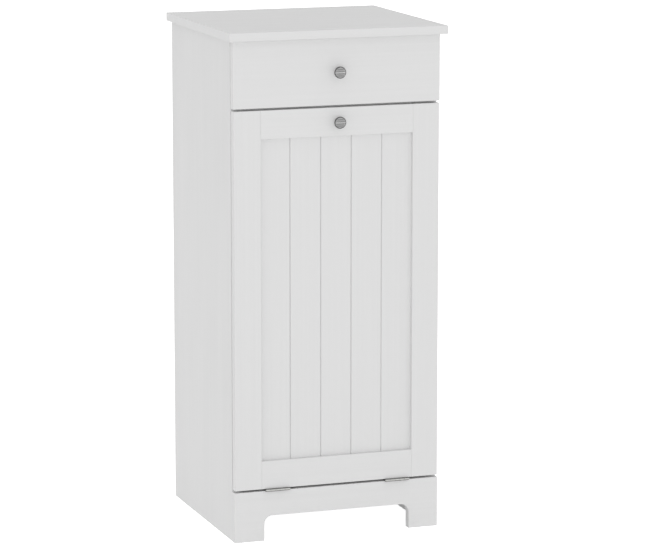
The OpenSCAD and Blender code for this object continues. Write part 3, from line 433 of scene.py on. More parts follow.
def make_materials():
    """The finishes by their plain names."""
    return {
        "board_x": white_melamine("x"),
        "board_y": white_melamine("y"),
        "board_z": white_melamine("z"),
        "hardboard": screened_hardboard(),
        "knob_neck": brushed_metal("turned_nickel", 176, 200, 0.32),
        "knob_face": brushed_metal("satin_nickel", 144, 162, 0.34),
        # Painted light on the knobs: the dark rim is painted reflection and shade, the bright bead a
        # painted highlight, the dull furrows painted shade.
        "knob_rim_painted_dark": brushed_metal("nickel_painted_dark_reflection", 74, 94, 0.3),
        "knob_bead_painted_highlight": brushed_metal("nickel_painted_highlight", 168, 188, 0.25),
        "knob_furrow_painted_shade": brushed_metal("nickel_painted_shade", 120, 138, 0.45),
        "nickel": nickel_with_painted_shade(),
        "zinc": zinc_plate(),
        "epoxy": coated("white_epoxy", (226, 226, 225), (232, 232, 231), 0.35),
        "nylon": coated("roller_nylon", (196, 197, 196), (206, 207, 206), 0.45, 500),
        "plastic": coated("catch_plastic", (214, 214, 213), (222, 222, 221), 0.42, 1200, 0.03 * MM),
        "rubber": coated("clear_rubber", (206, 208, 208), (216, 218, 218), 0.3, 400),
        "beech": beech_wood(),
        "linen": linen_weave(),
        "thread": coated("cotton_thread", (228, 223, 212), (236, 232, 224), 0.8, 3000, 0.1 * MM, 0.2),
    }


# Meshes
def make_object(name, mesh, *materials):
    """A new object in the scene, with its materials in order."""
    piece = bpy.data.objects.new(name, mesh)
    bpy.context.scene.collection.objects.link(piece)
    for material in materials:
        mesh.materials.append(material)
    return piece


def smooth_by_angle(mesh, angle):
    """Smooth shading, except across edges that turn by more than the angle in degrees."""
    mesh.shade_smooth()
    mesh.set_sharp_from_angle(angle=math.radians(angle))


def finish_mesh(bm, name, smooth_angle=35):
    """A mesh from bm whose faces are smooth except across edges sharper than the angle."""
    mesh = bpy.data.meshes.new(name)
    bm.to_mesh(mesh)
    bm.free()
    if "custom_normal" in mesh.attributes:
        mesh.attributes.remove(mesh.attributes["custom_normal"])
    smooth_by_angle(mesh, smooth_angle)
    return mesh


def welded(node):
    """A bmesh of a CAD node's solids, with its flat faces whole again."""
    bm = bmesh.new()
    bm.from_mesh(nodes[node].data)
    bmesh.ops.remove_doubles(bm, verts=bm.verts, dist=WELD)
    bmesh.ops.dissolve_limit(bm, angle_limit=math.radians(FLAT_WITHIN), verts=bm.verts, edges=bm.edges)
    return bm


def open_edges(bm):
    return sum(1 for edge in bm.edges if not edge.is_manifold)


def sharp_edges(bm, least_length, sharper_than):
    """The outer edges that turn by more than the angle. Those shorter than the least length, such as the
    edges round a hole, are left out."""
    return [edge for edge in bm.edges if edge.is_manifold and edge.calc_length() >= least_length
            and edge.calc_face_angle_signed() >= math.radians(sharper_than)]


def ease_edges(bm, edges, ease):
    """Rounds the edges over, in two steps."""
    bmesh.ops.bevel(bm, geom=edges, offset=ease, offset_type="OFFSET", segments=2, profile=0.5,
                    affect="EDGES", clamp_overlap=True)


def eased(node, ease, least_length=6 * MM, sharper_than=50, back_ease=0.0):
    """A welded copy of a CAD node whose outer edges are rounded over, more so round its back where
    back_ease is given."""
    bm = welded(node)
    if back_ease:
        back_y = max(vert.co.y for vert in bm.verts) - BACK_WITHIN
        ease_edges(bm, [edge for edge in sharp_edges(bm, least_length, sharper_than)
                        if all(vert.co.y > back_y for vert in edge.verts)], back_ease)
    ease_edges(bm, sharp_edges(bm, least_length, sharper_than), ease)
    if open_edges(bm):
        print("open edges", node, open_edges(bm))
    return finish_mesh(bm, node)


def dress(node, mesh, slot, *materials):
    """A finished piece that stands for one CAD node and moves as it does."""
    piece = make_object(node + "_finished", mesh, *materials)
    flat = piece.modifiers.new("flat faces shade flat", "WEIGHTED_NORMAL")
    flat.mode = "FACE_AREA"
    flat.weight = 100
    flat.keep_sharp = True
    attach(piece, nodes[node]["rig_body"])
    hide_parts(node)


def run_tree(name, build, sizes, start=None):
    """The plain mesh that a geometry node tree makes. build(graph, group input) returns the last geometry
    socket, and sizes gives the tree's named inputs."""
    tree = bpy.data.node_groups.new(name, "GeometryNodeTree")
    face = tree.interface
    face.new_socket("Geometry", in_out="INPUT", socket_type="NodeSocketGeometry")
    face.new_socket("Geometry", in_out="OUTPUT", socket_type="NodeSocketGeometry")
    kinds = {float: "NodeSocketFloat", int: "NodeSocketInt", tuple: "NodeSocketVector"}
    made = {}
    for key, value in sizes.items():
        kind = kinds.get(type(value), "NodeSocketMaterial")
        made[key] = face.new_socket(key, in_out="INPUT", socket_type=kind)
    graph = Graph(tree)
    given = graph.add("NodeGroupInput")
    shape = build(graph, given.outputs)
    realized = graph.add("GeometryNodeRealizeInstances", {"Geometry": shape})
    finished = graph.add("GeometryNodeSetMaterial", {
        "Geometry": realized.outputs[0], "Material": given.outputs["Material"]
    })
    graph.add("NodeGroupOutput", {"Geometry": finished.outputs[0]})
    holder = bpy.data.objects.new(name, start or bpy.data.meshes.new(name + "_start"))
    bpy.context.scene.collection.objects.link(holder)
    modifier = holder.modifiers.new(name, "NODES")
    modifier.node_group = tree
    for key, value in sizes.items():
        modifier[made[key].identifier] = value
    bpy.context.view_layer.update()
    seen = holder.evaluated_get(bpy.context.evaluated_depsgraph_get())
    mesh = bpy.data.meshes.new_from_object(seen)
    mesh.name = name
    holder.modifiers.remove(modifier)
    bpy.data.objects.remove(holder)
    bpy.data.node_groups.remove(tree)
    return mesh


def point_place(graph):
    """The outputs X, Y and Z of each point's place."""
    return graph.parts(graph.add("GeometryNodeInputPosition").outputs[0])


def moved(graph, shape, offset):
    return graph.add("GeometryNodeSetPosition", {"Geometry": shape, "Offset": offset}).outputs[0]


def grooved_boards(graph, given):
    """Five boards side by side with a V groove at each joint."""
    slab = graph.add("GeometryNodeMeshCube", {
        "Size": graph.vector(given["Width"], given["Thickness"], given["Height"]),
        "Vertices X": given["Columns"], "Vertices Y": 2, "Vertices Z": 2
    })
    place = point_place(graph)
    last = graph.math("SUBTRACT", given["Grooves"], 1.0)
    middle = graph.math("MULTIPLY", last, 0.5)
    pitches = graph.math("DIVIDE", place["X"], given["Pitch"])
    nearest = graph.math("ROUND", graph.math("ADD", pitches, middle))
    nearest = graph.math("MINIMUM", graph.math("MAXIMUM", nearest, 0.0), last)
    groove_x = graph.math("MULTIPLY", graph.math("SUBTRACT", nearest, middle), given["Pitch"])
    away = graph.math("ABSOLUTE", graph.math("SUBTRACT", place["X"], groove_x))
    share = graph.math("DIVIDE", away, graph.math("MULTIPLY", given["Groove Width"], 0.5))
    inside = graph.math("MAXIMUM", graph.math("SUBTRACT", 1.0, share), 0.0)
    sunk = graph.math("MULTIPLY", graph.math("POWER", inside, GROOVE_SLOPE), given["Groove Depth"])
    cut = graph.add("GeometryNodeSetPosition", {
        "Geometry": slab.outputs["Mesh"], "Selection": graph.math("LESS_THAN", place["Y"], 0.0),
        "Offset": graph.vector(y=sunk)
    })
    return moved(graph, cut.outputs[0], given["Centre"])


def dress_door_panel(materials):
    """The door's panel of five boards."""
    low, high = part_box("door_panel")
    size = high - low
    mesh = run_tree("door_panel_boards", grooved_boards, {
        "Width": size.x, "Thickness": size.y, "Height": size.z,
        "Columns": round(size.x / GROOVE_STEP) + 1,
        "Grooves": float(GROOVE_COUNT), "Pitch": GROOVE_PITCH,
        "Groove Width": GROOVE_WIDTH, "Groove Depth": GROOVE_DEPTH,
        "Centre": tuple((low + high) / 2), "Material": materials["board_z"],
    })
    smooth_by_angle(mesh, 20)
    dress("door_panel", mesh, "white_board")


def ribbed_disc(graph, given):
    """Half-round ribs side by side, with ends that follow the edge of the knob's dished face."""
    count = given["Ribs"]
    half = graph.math("MULTIPLY", graph.math("SUBTRACT", count, 1.0), 0.5)
    bottom = graph.math("MULTIPLY", graph.math("MULTIPLY", half, given["Pitch"]), -1.0)
    line = graph.add("GeometryNodeMeshLine", {
        "Count": graph.add("FunctionNodeFloatToInt", {0: count}).outputs[0],
        "Start Location": graph.vector(z=bottom), "Offset": graph.vector(z=given["Pitch"]),
    })
    bar = graph.add("GeometryNodeMeshCylinder", {
        "Vertices": 20, "Side Segments": 1, "Radius": 1.0, "Depth": 1.0
    })
    lying = graph.add("GeometryNodeTransform", {
        "Geometry": bar.outputs["Mesh"], "Rotation": (0.0, math.pi / 2, 0.0)
    })
    half_width = graph.math("MULTIPLY", given["Rib Width"], 0.5)
    ribs = graph.add("GeometryNodeInstanceOnPoints", {
        "Points": line.outputs[0], "Instance": lying.outputs[0],
        "Scale": graph.vector(given["Radius"], given["Rib Height"], half_width)
    })
    real = graph.add("GeometryNodeRealizeInstances", {"Geometry": ribs.outputs[0]})
    place = point_place(graph)
    left = graph.math("SUBTRACT", graph.math("POWER", given["Radius"], 2.0),
                      graph.math("POWER", place["Z"], 2.0))
    least = graph.math("POWER", given["Least Half"], 2.0)
    half_chord = graph.math("SQRT", graph.math("MAXIMUM", left, least))
    end = graph.math("MULTIPLY", graph.math("SIGN", place["X"]), half_chord)
    rounded = graph.add("GeometryNodeSetPosition", {
        "Geometry": real.outputs[0], "Position": graph.vector(end, place["Y"], place["Z"])
    })
    return moved(graph, rounded.outputs[0], given["Centre"])


def arc(centre, radius, start, end, steps):
    """Points of a round stretch of a profile, with the angles in degrees."""
    points = []
    for i in range(steps + 1):
        a = math.radians(start + (end - start) * i / steps)
        points.append((centre[0] + radius * math.cos(a), centre[1] + radius * math.sin(a)))
    return points


def knob_profile(head_r, reach):
    """(radius, depth from the board) from the back of the foot to the middle of the dished face."""
    rim_back = reach - KNOB_RIM_T
    rim_inner = head_r - KNOB_RIM_W
    bead_x = rim_inner - KNOB_BEAD_GAP - KNOB_BEAD_R
    floor = reach - KNOB_DISH
    foot_edge = (KNOB_FOOT_R - KNOB_FOOT_EDGE_R, KNOB_FOOT_T - KNOB_FOOT_EDGE_R)
    cove = (KNOB_FOOT_R - KNOB_COVE_INSET, KNOB_FOOT_T + KNOB_COVE_R)
    points = [(0, 0), (KNOB_FOOT_R, 0)]
    points += arc(foot_edge, KNOB_FOOT_EDGE_R, 0, 90, 4)
    points += arc(cove, KNOB_COVE_R, 270, 180, 6)
    points += [(KNOB_WAIST_R, KNOB_WAIST_AT), (KNOB_NECK_R, KNOB_NECK_END)]
    for step in range(1, KNOB_FLARE_PARTS):
        share = step / KNOB_FLARE_PARTS
        swell = KNOB_FLARE_SWELL * share * (1 - share)
        points.append((KNOB_NECK_R + (head_r - KNOB_LIP_R - KNOB_NECK_R) * share,
                       KNOB_NECK_END + (rim_back - KNOB_NECK_END) * (share + swell)))
    points += arc((head_r - KNOB_LIP_R, rim_back + KNOB_LIP_R), KNOB_LIP_R, 290, 360, 4)
    points += arc((head_r - KNOB_EDGE_R, reach - KNOB_EDGE_R), KNOB_EDGE_R, 0, 90, 8)
    points += [(rim_inner, reach - KNOB_STEP), (rim_inner - KNOB_BEAD_GAP, floor + KNOB_STEP)]
    points += arc((bead_x, floor + KNOB_STEP), KNOB_BEAD_R, 20, 180, 8)
    points += [(bead_x - KNOB_BEAD_R - KNOB_STEP, floor), (0, floor)]
    return points


def knob_face_r(head_r):
    """The radius of the ribbed face, inside the rim and the bead."""
    return head_r - KNOB_RIM_W - KNOB_STEP - 2 * KNOB_BEAD_R - KNOB_BEAD_GAP


def knob_finish(place, head_r, reach):
    """Which of the knob's finishes the turning has at a place, measured from the middle of its foot. The
    rim's dark finish is painted reflection and shade, the bead's bright finish a painted highlight and the
    furrows' dull finish painted shade.
    """
    out = math.hypot(place.x, place.z)
    if -place.y <= reach - KNOB_RIM_T:
        return KNOB_NECK
    if out > head_r - KNOB_RIM_W - KNOB_STEP:
        return KNOB_RIM
    if out > knob_face_r(head_r):
        return KNOB_BEAD
    return KNOB_FURROW


def turned_knob(name, centre, head_r, reach):
    """The knob's turning as a mesh round its own axis, from its foot to its dished face."""
    bm = bmesh.new()
    rows = []
    for radius, depth in knob_profile(head_r, reach):
        row = []
        for k in range(KNOB_PARTS if radius > 0 else 1):
            a = 2 * math.pi * k / KNOB_PARTS
            spot = Vector((radius * math.cos(a), -depth, radius * math.sin(a)))
            row.append(bm.verts.new(centre + spot))
        rows.append(row)
    for one, two in zip(rows, rows[1:]):
        for k in range(KNOB_PARTS):
            after = k + 1
            ring = [one[k % len(one)], one[after % len(one)], two[after % len(two)], two[k % len(two)]]
            corners = list(dict.fromkeys(ring))
            if len(corners) > 2:
                face = bm.faces.new(corners)
                face.material_index = knob_finish(face.calc_center_median() - centre, head_r, reach)
    bmesh.ops.recalc_face_normals(bm, faces=bm.faces)
    return finish_mesh(bm, name, 40)


def dress_knob(node, materials):
    """A turned knob with a rim darkened as painted reflection and shade, a bead inside it brightened as a
    painted highlight, and a ribbed face whose middle rib is a painted highlight and whose furrows are
    darkened as painted shade.
    """
    low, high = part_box(node)
    head_r = (high.x - low.x) / 2
    face_r = knob_face_r(head_r)
    reach = high.y - low.y
    centre = Vector((0, high.y, (low.z + high.z) / 2))
    finishes = [materials[name] for name in ("knob_neck", "knob_rim_painted_dark", "knob_bead_painted_highlight", "knob_furrow_painted_shade")]
    turned = make_object(node + "_turned", turned_knob(node + "_turned", centre, head_r, reach), *finishes)
    ribs = run_tree(node + "_ribs", ribbed_disc, {
        "Radius": face_r + KNOB_RIB_SEAT, "Least Half": KNOB_RIB_SEAT,
        "Pitch": KNOB_RIB_PITCH, "Rib Width": KNOB_RIB_WIDTH,
        "Rib Height": KNOB_DISH - KNOB_RIB_SHY,
        "Ribs": 2.0 * math.floor(face_r / KNOB_RIB_PITCH) + 1,
        "Centre": tuple(centre + Vector((0, KNOB_DISH - reach, 0))), "Material": materials["knob_face"],
    })
    smooth_by_angle(ribs, 40)
    ribbed = make_object(node + "_ribs", ribs, materials["knob_bead_painted_highlight"])
    # The middle rib takes the bright finish as a painted highlight.
    painted_highlight_slot = len(ribs.materials) - 1
    for face in ribs.polygons:
        if abs(face.center.z - centre.z) < KNOB_RIB_PITCH / 2:
            face.material_index = painted_highlight_slot
    for piece in (turned, ribbed):
        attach(piece, nodes[node]["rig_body"])
    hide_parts(node)
    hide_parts(node)


def dress_fittings(materials):
    """Welded, smoothly shaded copies of the fittings, with their edges eased."""
    fittings = {
        ("nickel", "nickel_steel", METAL_EASE): [
            "left_hinge_fixed_leaf", "right_hinge_fixed_leaf", "left_hinge_door_leaf",
            "right_hinge_door_leaf", "left_hinge_pin", "right_hinge_pin", "hinge_fixed_screws",
            "hinge_door_screws"],
        ("zinc", "zinc_steel", METAL_EASE): [
            "cam_locks", "cam_bolts", "back_panel_nails", "cabinet_roller_axles", "drawer_roller_axles",
            "cabinet_fitting_screws", "left_stay_stud", "right_stay_stud", "drawer_cam_locks",
            "drawer_cam_bolts", "drawer_box_screws", "drawer_runner_screws", "drawer_knob_screw",
            "door_knob_screw", "left_quadrant_stay", "right_quadrant_stay", "door_fitting_screws",
            "catch_plate"],
        ("epoxy", "coated_steel", RUNNER_EASE): [
            "left_cabinet_runner", "right_cabinet_runner", "left_drawer_runner", "right_drawer_runner",
            "bag_frame"],
        ("nylon", "roller_nylon", PLASTIC_EASE): [
            "left_front_roller", "right_front_roller", "left_rear_roller", "right_rear_roller"],
        ("plastic", "catch_plastic", PLASTIC_EASE): ["magnetic_catch", "bag_frame_sockets"],
        ("rubber", "bumper_rubber", RUBBER_EASE): ["front_bumpers"],
        ("beech", "beech", DOWEL_EASE): ["wooden_dowels"],
    }
    for (finish, slot, ease), names in fittings.items():
        for node in names:
            dress(node, eased(node, ease, least_length=0), slot, materials[finish])


def dress_boards(materials):
    """White boards with their grain along the way given, and the hardboard back."""
    grains = {
        "x": ["top_panel", "bottom_panel", "divider_panel", "drawer_front", "drawer_back", "front_apron",
              "door_top_rail", "door_bottom_rail"],
        "y": ["drawer_left_side", "drawer_right_side", "drawer_bottom"],
        "z": ["left_side_panel", "right_side_panel", "door_left_stile", "door_right_stile"],
    }
    for axis, names in grains.items():
        for node in names:
            ease = DOOR_EASE if node.startswith("door") else BOARD_EASE
            back_ease = FRONT_BACK_EASE if node == "drawer_front" else 0
            mesh = eased(node, ease, least_length=10 * MM, back_ease=back_ease)
            dress(node, mesh, "white_board", materials["board_" + axis])
    dress("back_panel", eased("back_panel", HARDBOARD_EASE), "hardboard", materials["hardboard"])


# Laundry bag
def bag_outline(half_x, half_y, corner_r, count):
    """Evenly spaced points of a rectangle with round corners, from the middle of its left side, and the
    length of the whole way round."""
    corner_r = min(corner_r, half_x - LEAST_STRAIGHT, half_y - LEAST_STRAIGHT)
    straight_x = half_x - corner_r
    straight_y = half_y - corner_r
    bend = math.pi / 2 * corner_r
    legs = [straight_y, bend, 2 * straight_x, bend, 2 * straight_y, bend, 2 * straight_x, bend, straight_y]
    corners = [(-1, -1), (1, -1), (1, 1), (-1, 1)]
    starts = [(-half_x, 0), (-straight_x, -half_y), (half_x, -straight_y), (straight_x, half_y),
              (-half_x, straight_y)]
    ways = [(0, -1), (1, 0), (0, 1), (-1, 0), (0, -1)]
    around = sum(legs)
    points = []
    for k in range(count):
        s = around * k / count
        leg = 0
        while s > legs[leg] + ROUNDING:
            s -= legs[leg]
            leg += 1
        side = leg // 2
        if leg % 2:
            a = math.pi + side * math.pi / 2 + s / corner_r
            points.append((corners[side][0] * straight_x + corner_r * math.cos(a),
                           corners[side][1] * straight_y + corner_r * math.sin(a)))
        else:
            points.append((starts[side][0] + ways[side][0] * s, starts[side][1] + ways[side][1] * s))
    return points, around


def bag_room(low, high):
    """Half the width and half the depth that the cloth's middle layer has, and the middle of its box."""
    return (high.x - low.x) / 2 - CLOTH_T, (high.y - low.y) / 2 - CLOTH_T, (low + high) / 2


def outside_by(x, y, half_x, half_y, corner_r):
    """Signed distance of a point from the outline, and the outward direction there."""
    dx = abs(x) - (half_x - corner_r)
    dy = abs(y) - (half_y - corner_r)
    sx, sy = math.copysign(1, x), math.copysign(1, y)
    if dx > 0 and dy > 0:
        far = math.hypot(dx, dy)
        return far - corner_r, Vector((sx * dx / far, sy * dy / far, 0))
    if dx > dy:
        return dx - corner_r, Vector((sx, 0, 0))
    return dy - corner_r, Vector((0, sy, 0))


def fold_wave(turn, down):
    """How far the wall's folds reach out at an angle round the bag: broad folds of uneven width, and finer
    ones that shift sideways on the way down."""
    broad = math.sin(BROAD_FOLDS * turn + BROAD_UNEVEN * math.sin(2 * turn))
    return broad + FINE_SHARE * math.sin(FINE_FOLDS * turn + FINE_START + FINE_SHIFT * down)


def bag_cloth(low, high):
    """The cut and sewn cloth before it hangs, as a bmesh: rings down a wall with slack in it, then rings
    that draw in over the base. Its UV map is in metres."""
    half_x, half_y, middle = bag_room(low, high)
    base_z = low.z + BAG_BASE_LIFT
    top_z = high.z - BAG_TOP_GAP
    bm = bmesh.new()
    uv = bm.loops.layers.uv.new("cloth")
    spots = {}
    rings = []
    for row in range(BAG_ROWS + BAG_BASE_RINGS):
        down = min(row / (BAG_ROWS - 1), 1)
        inward = max(row - BAG_ROWS + 1, 0) / BAG_BASE_RINGS
        draw = half_y * inward
        corner_r = BAG_CORNER_R * (1 - inward)
        outline, around = bag_outline(half_x - draw, half_y - draw, corner_r, BAG_COLUMNS)
        z = top_z + (base_z - top_z) * down
        slack = BAG_SLACK * math.sin(math.pi * down) * (1 - inward)
        ring = []
        for k, (x, y) in enumerate(outline):
            wave = fold_wave(2 * math.pi * k / BAG_COLUMNS, down)
            out = outside_by(x, y, half_x, half_y, BAG_CORNER_R)[1]
            place = Vector((middle.x + x, middle.y + y, z)) + out * slack * (wave - FOLD_INSET)
            vert = bm.verts.new(place)
            spots[vert] = (x, y) if inward > 0 else (around * k / BAG_COLUMNS, z)
            ring.append(vert)
        rings.append(ring)
    seam_u = bag_outline(half_x, half_y, BAG_CORNER_R, BAG_COLUMNS)[1]
    for row, (one, two) in enumerate(zip(rings, rings[1:])):
        for k in range(BAG_COLUMNS):
            j = (k + 1) % BAG_COLUMNS
            face = bm.faces.new([one[k], one[j], two[j], two[k]])
            for loop in face.loops:
                u, v = spots[loop.vert]
                if row == BAG_ROWS - 1 and loop.vert in (one[k], one[j]):
                    u, v = loop.vert.co.x - middle.x, loop.vert.co.y - middle.y
                elif row < BAG_ROWS - 1 and j == 0 and loop.vert in (one[j], two[j]):
                    u = seam_u
                loop[uv].uv = (u, v)
    last = rings[-1]
    for k in range(BAG_COLUMNS // 2):
        corners = list(dict.fromkeys([last[k], last[k + 1], last[-k - 1], last[-k]]))
        if len(corners) > 2:
            face = bm.faces.new(corners)
            for loop in face.loops:
                loop[uv].uv = spots[loop.vert]
    bmesh.ops.recalc_face_normals(bm, faces=bm.faces)
    return bm


def hang(piece, pinned):
    """Lets the cloth hang from its pinned vertices, with the cloth simulation applied to its mesh."""
    group = piece.vertex_groups.new(name="hem")
    group.add(pinned, 1, "REPLACE")
    cloth = piece.modifiers.new("hang", "CLOTH")
    for setting, value in CLOTH_SETTINGS.items():
        setattr(cloth.settings, setting, value)
    cloth.settings.vertex_group_mass = "hem"
    cloth.point_cache.frame_start = 1
    cloth.point_cache.frame_end = HANG_FRAMES
    scene = bpy.context.scene
    for step in range(1, HANG_FRAMES + 1):
        scene.frame_set(step)
    seen = piece.evaluated_get(bpy.context.evaluated_depsgraph_get())
    hung = bpy.data.meshes.new_from_object(seen)
    piece.modifiers.remove(cloth)
    piece.vertex_groups.clear()
    piece.data = hung
    scene.frame_set(1)


def softly_positive(distance):
    """The distance where it is well above 0, and a small positive one where it isn't."""
    return BAG_SOFT * math.log1p(math.exp(distance / BAG_SOFT))


def keep_inside(piece, low, high):
    """Eases the hung cloth back into the space that the bag has."""
    half_x, half_y, middle = bag_room(low, high)
    floor = low.z + CLOTH_T
    for vert in piece.data.vertices:
        x, y = vert.co.x - middle.x, vert.co.y - middle.y
        away, out = outside_by(x, y, half_x, half_y, BAG_CORNER_R)
        if away > -BAG_SOFT_WALL and vert.co.z < high.z - BAG_HEM:
            vert.co += out * (-softly_positive(-away) - away)
        lift = vert.co.z - floor
        if lift < BAG_SOFT_FLOOR:
            vert.co.z = floor + softly_positive(lift)


def sweep(bm, path, outs, profile, uv):
    """A closed profile of (outward, up) points swept along a level path and capped at both ends."""
    rows = []
    run = 0
    for k, (place, out) in enumerate(zip(path, outs)):
        run += (place - path[k - 1]).length if k else 0
        rows.append((run, [bm.verts.new(place + out * o + Vector((0, 0, z))) for o, z in profile]))
    rounds = [0]
    for one, two in zip(profile, profile[1:] + profile[:1]):
        rounds.append(rounds[-1] + math.dist(one, two))
    count = len(profile)
    for (run_a, a), (run_b, b) in zip(rows, rows[1:]):
        for k in range(count):
            face = bm.faces.new([a[k], a[(k + 1) % count], b[(k + 1) % count], b[k]])
            near, far = rounds[k], rounds[k + 1]
            for loop, spot in zip(face.loops, [(run_a, near), (run_a, far), (run_b, far), (run_b, near)]):
                loop[uv].uv = spot
    for cap in (rows[0][1], rows[-1][1]):
        for k in range(count // 2 - 1):
            bm.faces.new([cap[k], cap[k + 1], cap[count - 2 - k], cap[count - 1 - k]])


def binding_profile():
    """The fabric strip folded over a rod, as (outward, up) from the rod's axis: its middle line from the
    inside of the bag over the rod to the outside, thickened to both sides."""
    inside = [(-5.5, -26), (-5.5, -16), (-5.6, -6)]
    over = [(-0.8 + 4.8 * math.cos(a), 4.3 * math.sin(a))
            for a in (math.radians(180 - 18 * step) for step in range(11))]
    outside = [(3.9, -6), (3.0, -12), (0.6, -17), (-2.1, -20), (-3.0, -23), (-3.1, -26)]
    line = [Vector((o * MM, z * MM)) for o, z in inside + over + outside]
    left, right = [], []
    for k, point in enumerate(line):
        way = line[min(k + 1, len(line) - 1)] - line[max(k - 1, 0)]
        side = Vector((-way.y, way.x)).normalized() * BINDING_T / 2
        left.append(tuple(point + side))
        right.append(tuple(point - side))
    return left + right[::-1]


def rod_paths():
    """The level paths along the bag frame that the binding follows, each with its outward directions."""
    low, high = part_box("bag_frame")
    rod_r = (high.z - low.z) / 2
    z = (low.z + high.z) / 2
    arm_x = high.x - rod_r
    rear_y = high.y - rod_r
    bag_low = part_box("laundry_bag")[0]
    front_y = bag_low.y - rod_r - FRONT_ROD_GAP
    start_y = bag_low.y + BAG_CORNER_R - BINDING_START
    bend_y = rear_y - FRAME_BEND_R
    sides, outs = [], []
    for step in range(ARM_STEPS + 1):
        sides.append(Vector((-arm_x, start_y + (bend_y - start_y) * step / ARM_STEPS, z)))
        outs.append(Vector((-1, 0, 0)))
    for step in range(1, BEND_STEPS + 1):
        a = math.radians(180 - 90 * step / BEND_STEPS)
        out = Vector((math.cos(a), math.sin(a), 0))
        sides.append(Vector((-arm_x + FRAME_BEND_R, bend_y, z)) + out * FRAME_BEND_R)
        outs.append(out)
    sides += [Vector((-p.x, p.y, p.z)) for p in reversed(sides)]
    outs += [Vector((-o.x, o.y, 0)) for o in reversed(outs)]
    reach = arm_x - BAG_CORNER_R - FRONT_ROD_INSET
    front = [Vector((-reach + 2 * reach * step / FRONT_STEPS, front_y, z))
             for step in range(FRONT_STEPS + 1)]
    return [(sides, outs), (front, [Vector((0, -1, 0))] * len(front))]


def stitch_row(graph, given):
    """Stitches set end to end along the start mesh's lines."""
    line = graph.add("GeometryNodeMeshToCurve", {"Mesh": given["Geometry"]})
    spots = graph.add("GeometryNodeCurveToPoints", {"Curve": line.outputs[0], "Length": given["Pitch"]},
                      mode="LENGTH")
    bead = graph.add("GeometryNodeMeshUVSphere", {"Segments": 6, "Rings": 4, "Radius": 1.0})
    half_length = graph.math("MULTIPLY", given["Length"], 0.5)
    return graph.add("GeometryNodeInstanceOnPoints", {
        "Points": spots.outputs["Points"], "Instance": bead.outputs["Mesh"],
        "Rotation": spots.outputs["Rotation"],
        "Scale": graph.vector(given["Radius"], given["Radius"], half_length)
    }).outputs[0]


def lines_mesh(name, lines, closed=False):
    """A mesh of nothing but lines."""
    points, edges = [], []
    for line in lines:
        first = len(points)
        points += [tuple(p) for p in line]
        edges += [(first + k, first + k + 1) for k in range(len(line) - 1)]
        if closed:
            edges.append((len(points) - 1, first))
    mesh = bpy.data.meshes.new(name)
    mesh.from_pydata(points, edges, [])
    return mesh


def sew(name, lines, materials, closed=False):
    """A row of stitches along each line, riding with the door."""
    mesh = run_tree(name, stitch_row, {
        "Pitch": STITCH_PITCH, "Length": STITCH_LENGTH, "Radius": STITCH_R,
        "Material": materials["thread"],
    }, lines_mesh(name, lines, closed))
    smooth_by_angle(mesh, 60)
    stitches = make_object(name, mesh)
    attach(stitches, "door")
    return stitches


def make_binding(materials):
    """The fabric strip that is folded over the rods of the bag frame."""
    bm = bmesh.new()
    uv = bm.loops.layers.uv.new("cloth")
    for path, outs in rod_paths():
        sweep(bm, path, outs, binding_profile(), uv)
    bmesh.ops.recalc_face_normals(bm, faces=bm.faces)
    binding = make_object("bag_binding", finish_mesh(bm, "bag_binding", 50), materials["linen"])
    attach(binding, "door")
    return binding


def make_bag(materials):
    """The cloth bag that hangs in the steel frame, with its rim bound over the rods."""
    low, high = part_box("laundry_bag")
    bag = make_object("bag_cloth", finish_mesh(bag_cloth(low, high), "bag_cloth", 180), materials["linen"])
    hang(bag, list(range(2 * BAG_COLUMNS)))
    keep_inside(bag, low, high)
    first = (BAG_ROWS - 1) * BAG_COLUMNS
    seam = [bag.data.vertices[first + k].co + Vector((0, 0, BASE_STITCH_LIFT)) for k in range(BAG_COLUMNS)]
    wall = bag.modifiers.new("cloth thickness", "SOLIDIFY")
    wall.thickness = CLOTH_T
    wall.offset = 0
    smooth = bag.modifiers.new("smooth folds", "SUBSURF")
    smooth.levels = smooth.render_levels = 1
    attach(bag, "door")
    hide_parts("laundry_bag")
    binding = make_binding(materials)
    rows = []
    for path, outs in rod_paths():
        for offset in (-BINDING_INSIDE - BINDING_T / 2, -BINDING_OUTSIDE + BINDING_T / 2):
            rows.append([p + out * offset + Vector((0, 0, -STITCH_DROP)) for p, out in zip(path, outs)])
    stitches = sew("bag_binding_stitches", rows, materials)
    base_stitches = sew("bag_base_stitches", [seam], materials, True)


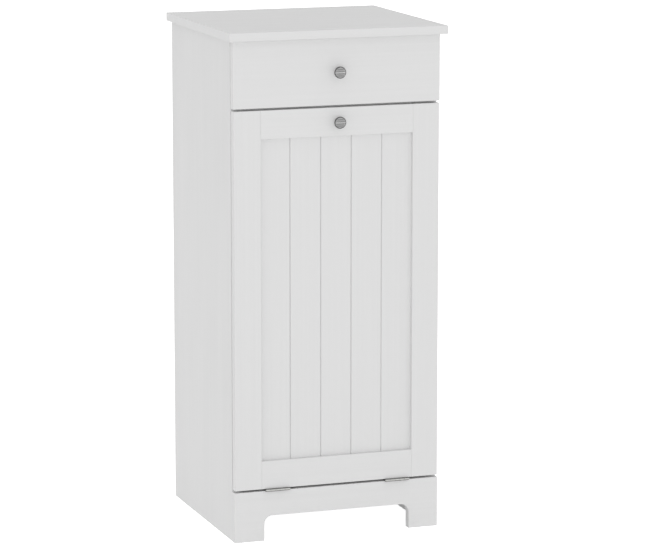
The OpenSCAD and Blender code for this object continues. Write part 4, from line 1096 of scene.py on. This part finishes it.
# World, lamp and floor
def strength_by_ray(graph, seen, cast):
    """One strength for what the camera and reflections see, and another for the light cast on pieces."""
    path = graph.add("ShaderNodeLightPath").outputs
    mirrored = graph.math("MAXIMUM", path["Is Glossy Ray"], path["Is Transmission Ray"])
    direct = graph.math("MAXIMUM", path["Is Camera Ray"], mirrored)
    strength = graph.add("ShaderNodeMapRange", {"Value": direct, "To Min": cast, "To Max": seen})
    return strength.outputs["Result"]


def make_world():
    """White for the camera and for reflections, and a plain soft light on everything else."""
    world = bpy.data.worlds.new("studio")
    bpy.context.scene.world = world
    graph = start_graph(world)
    back = graph.add("ShaderNodeBackground", {
        "Strength": strength_by_ray(graph, 1.0, AMBIENT), "Color": (1, 1, 1, 1)
    })
    graph.add("ShaderNodeOutputWorld", {"Surface": back.outputs["Background"]})


def make_lamp():
    """A large soft lamp far in front of the cabinet, on its left."""
    data = bpy.data.lights.new("front_lamp", "AREA")
    data.shape = "DISK"
    data.size = LAMP_SIZE
    data.energy = LAMP_POWER
    lamp = bpy.data.objects.new("front_lamp", data)
    lamp.location = LAMP_PLACE
    lamp.rotation_euler = (Vector(LAMP_AIM) - lamp.location).to_track_quat("-Z", "Y").to_euler()
    bpy.context.scene.collection.objects.link(lamp)


def make_floor():
    """A pale floor that the camera sees as white except in the cabinet's shadow. It lifts the undersides
    a little, as a white studio floor does."""
    half = FLOOR_SIZE / 2
    corners = [(-half, -half, 0), (half, -half, 0), (half, half, 0), (-half, half, 0)]
    mesh = bpy.data.meshes.new("floor")
    mesh.from_pydata(corners, [], [(0, 1, 2, 3)])
    material = bpy.data.materials.new("pale_floor")
    graph = start_graph(material)
    glow = graph.add("ShaderNodeEmission", {"Strength": strength_by_ray(graph, FLOOR_GLOW, FLOOR_LIFT)})
    matte = graph.add("ShaderNodeBsdfDiffuse", {"Color": (FLOOR_ALBEDO, FLOOR_ALBEDO, FLOOR_ALBEDO, 1)})
    both = graph.add("ShaderNodeAddShader", {0: glow.outputs[0], 1: matte.outputs[0]})
    graph.add("ShaderNodeOutputMaterial", {"Surface": both.outputs[0]})
    floor = make_object("floor", mesh, material)


# The scene
make_camera()
materials = make_materials()
dress_boards(materials)
dress_door_panel(materials)
for knob in ("drawer_knob", "door_knob"):
    dress_knob(knob, materials)
dress_fittings(materials)
make_bag(materials)
make_world()
make_lamp()
make_floor()
bpy.context.scene.view_settings.view_transform = "Standard"
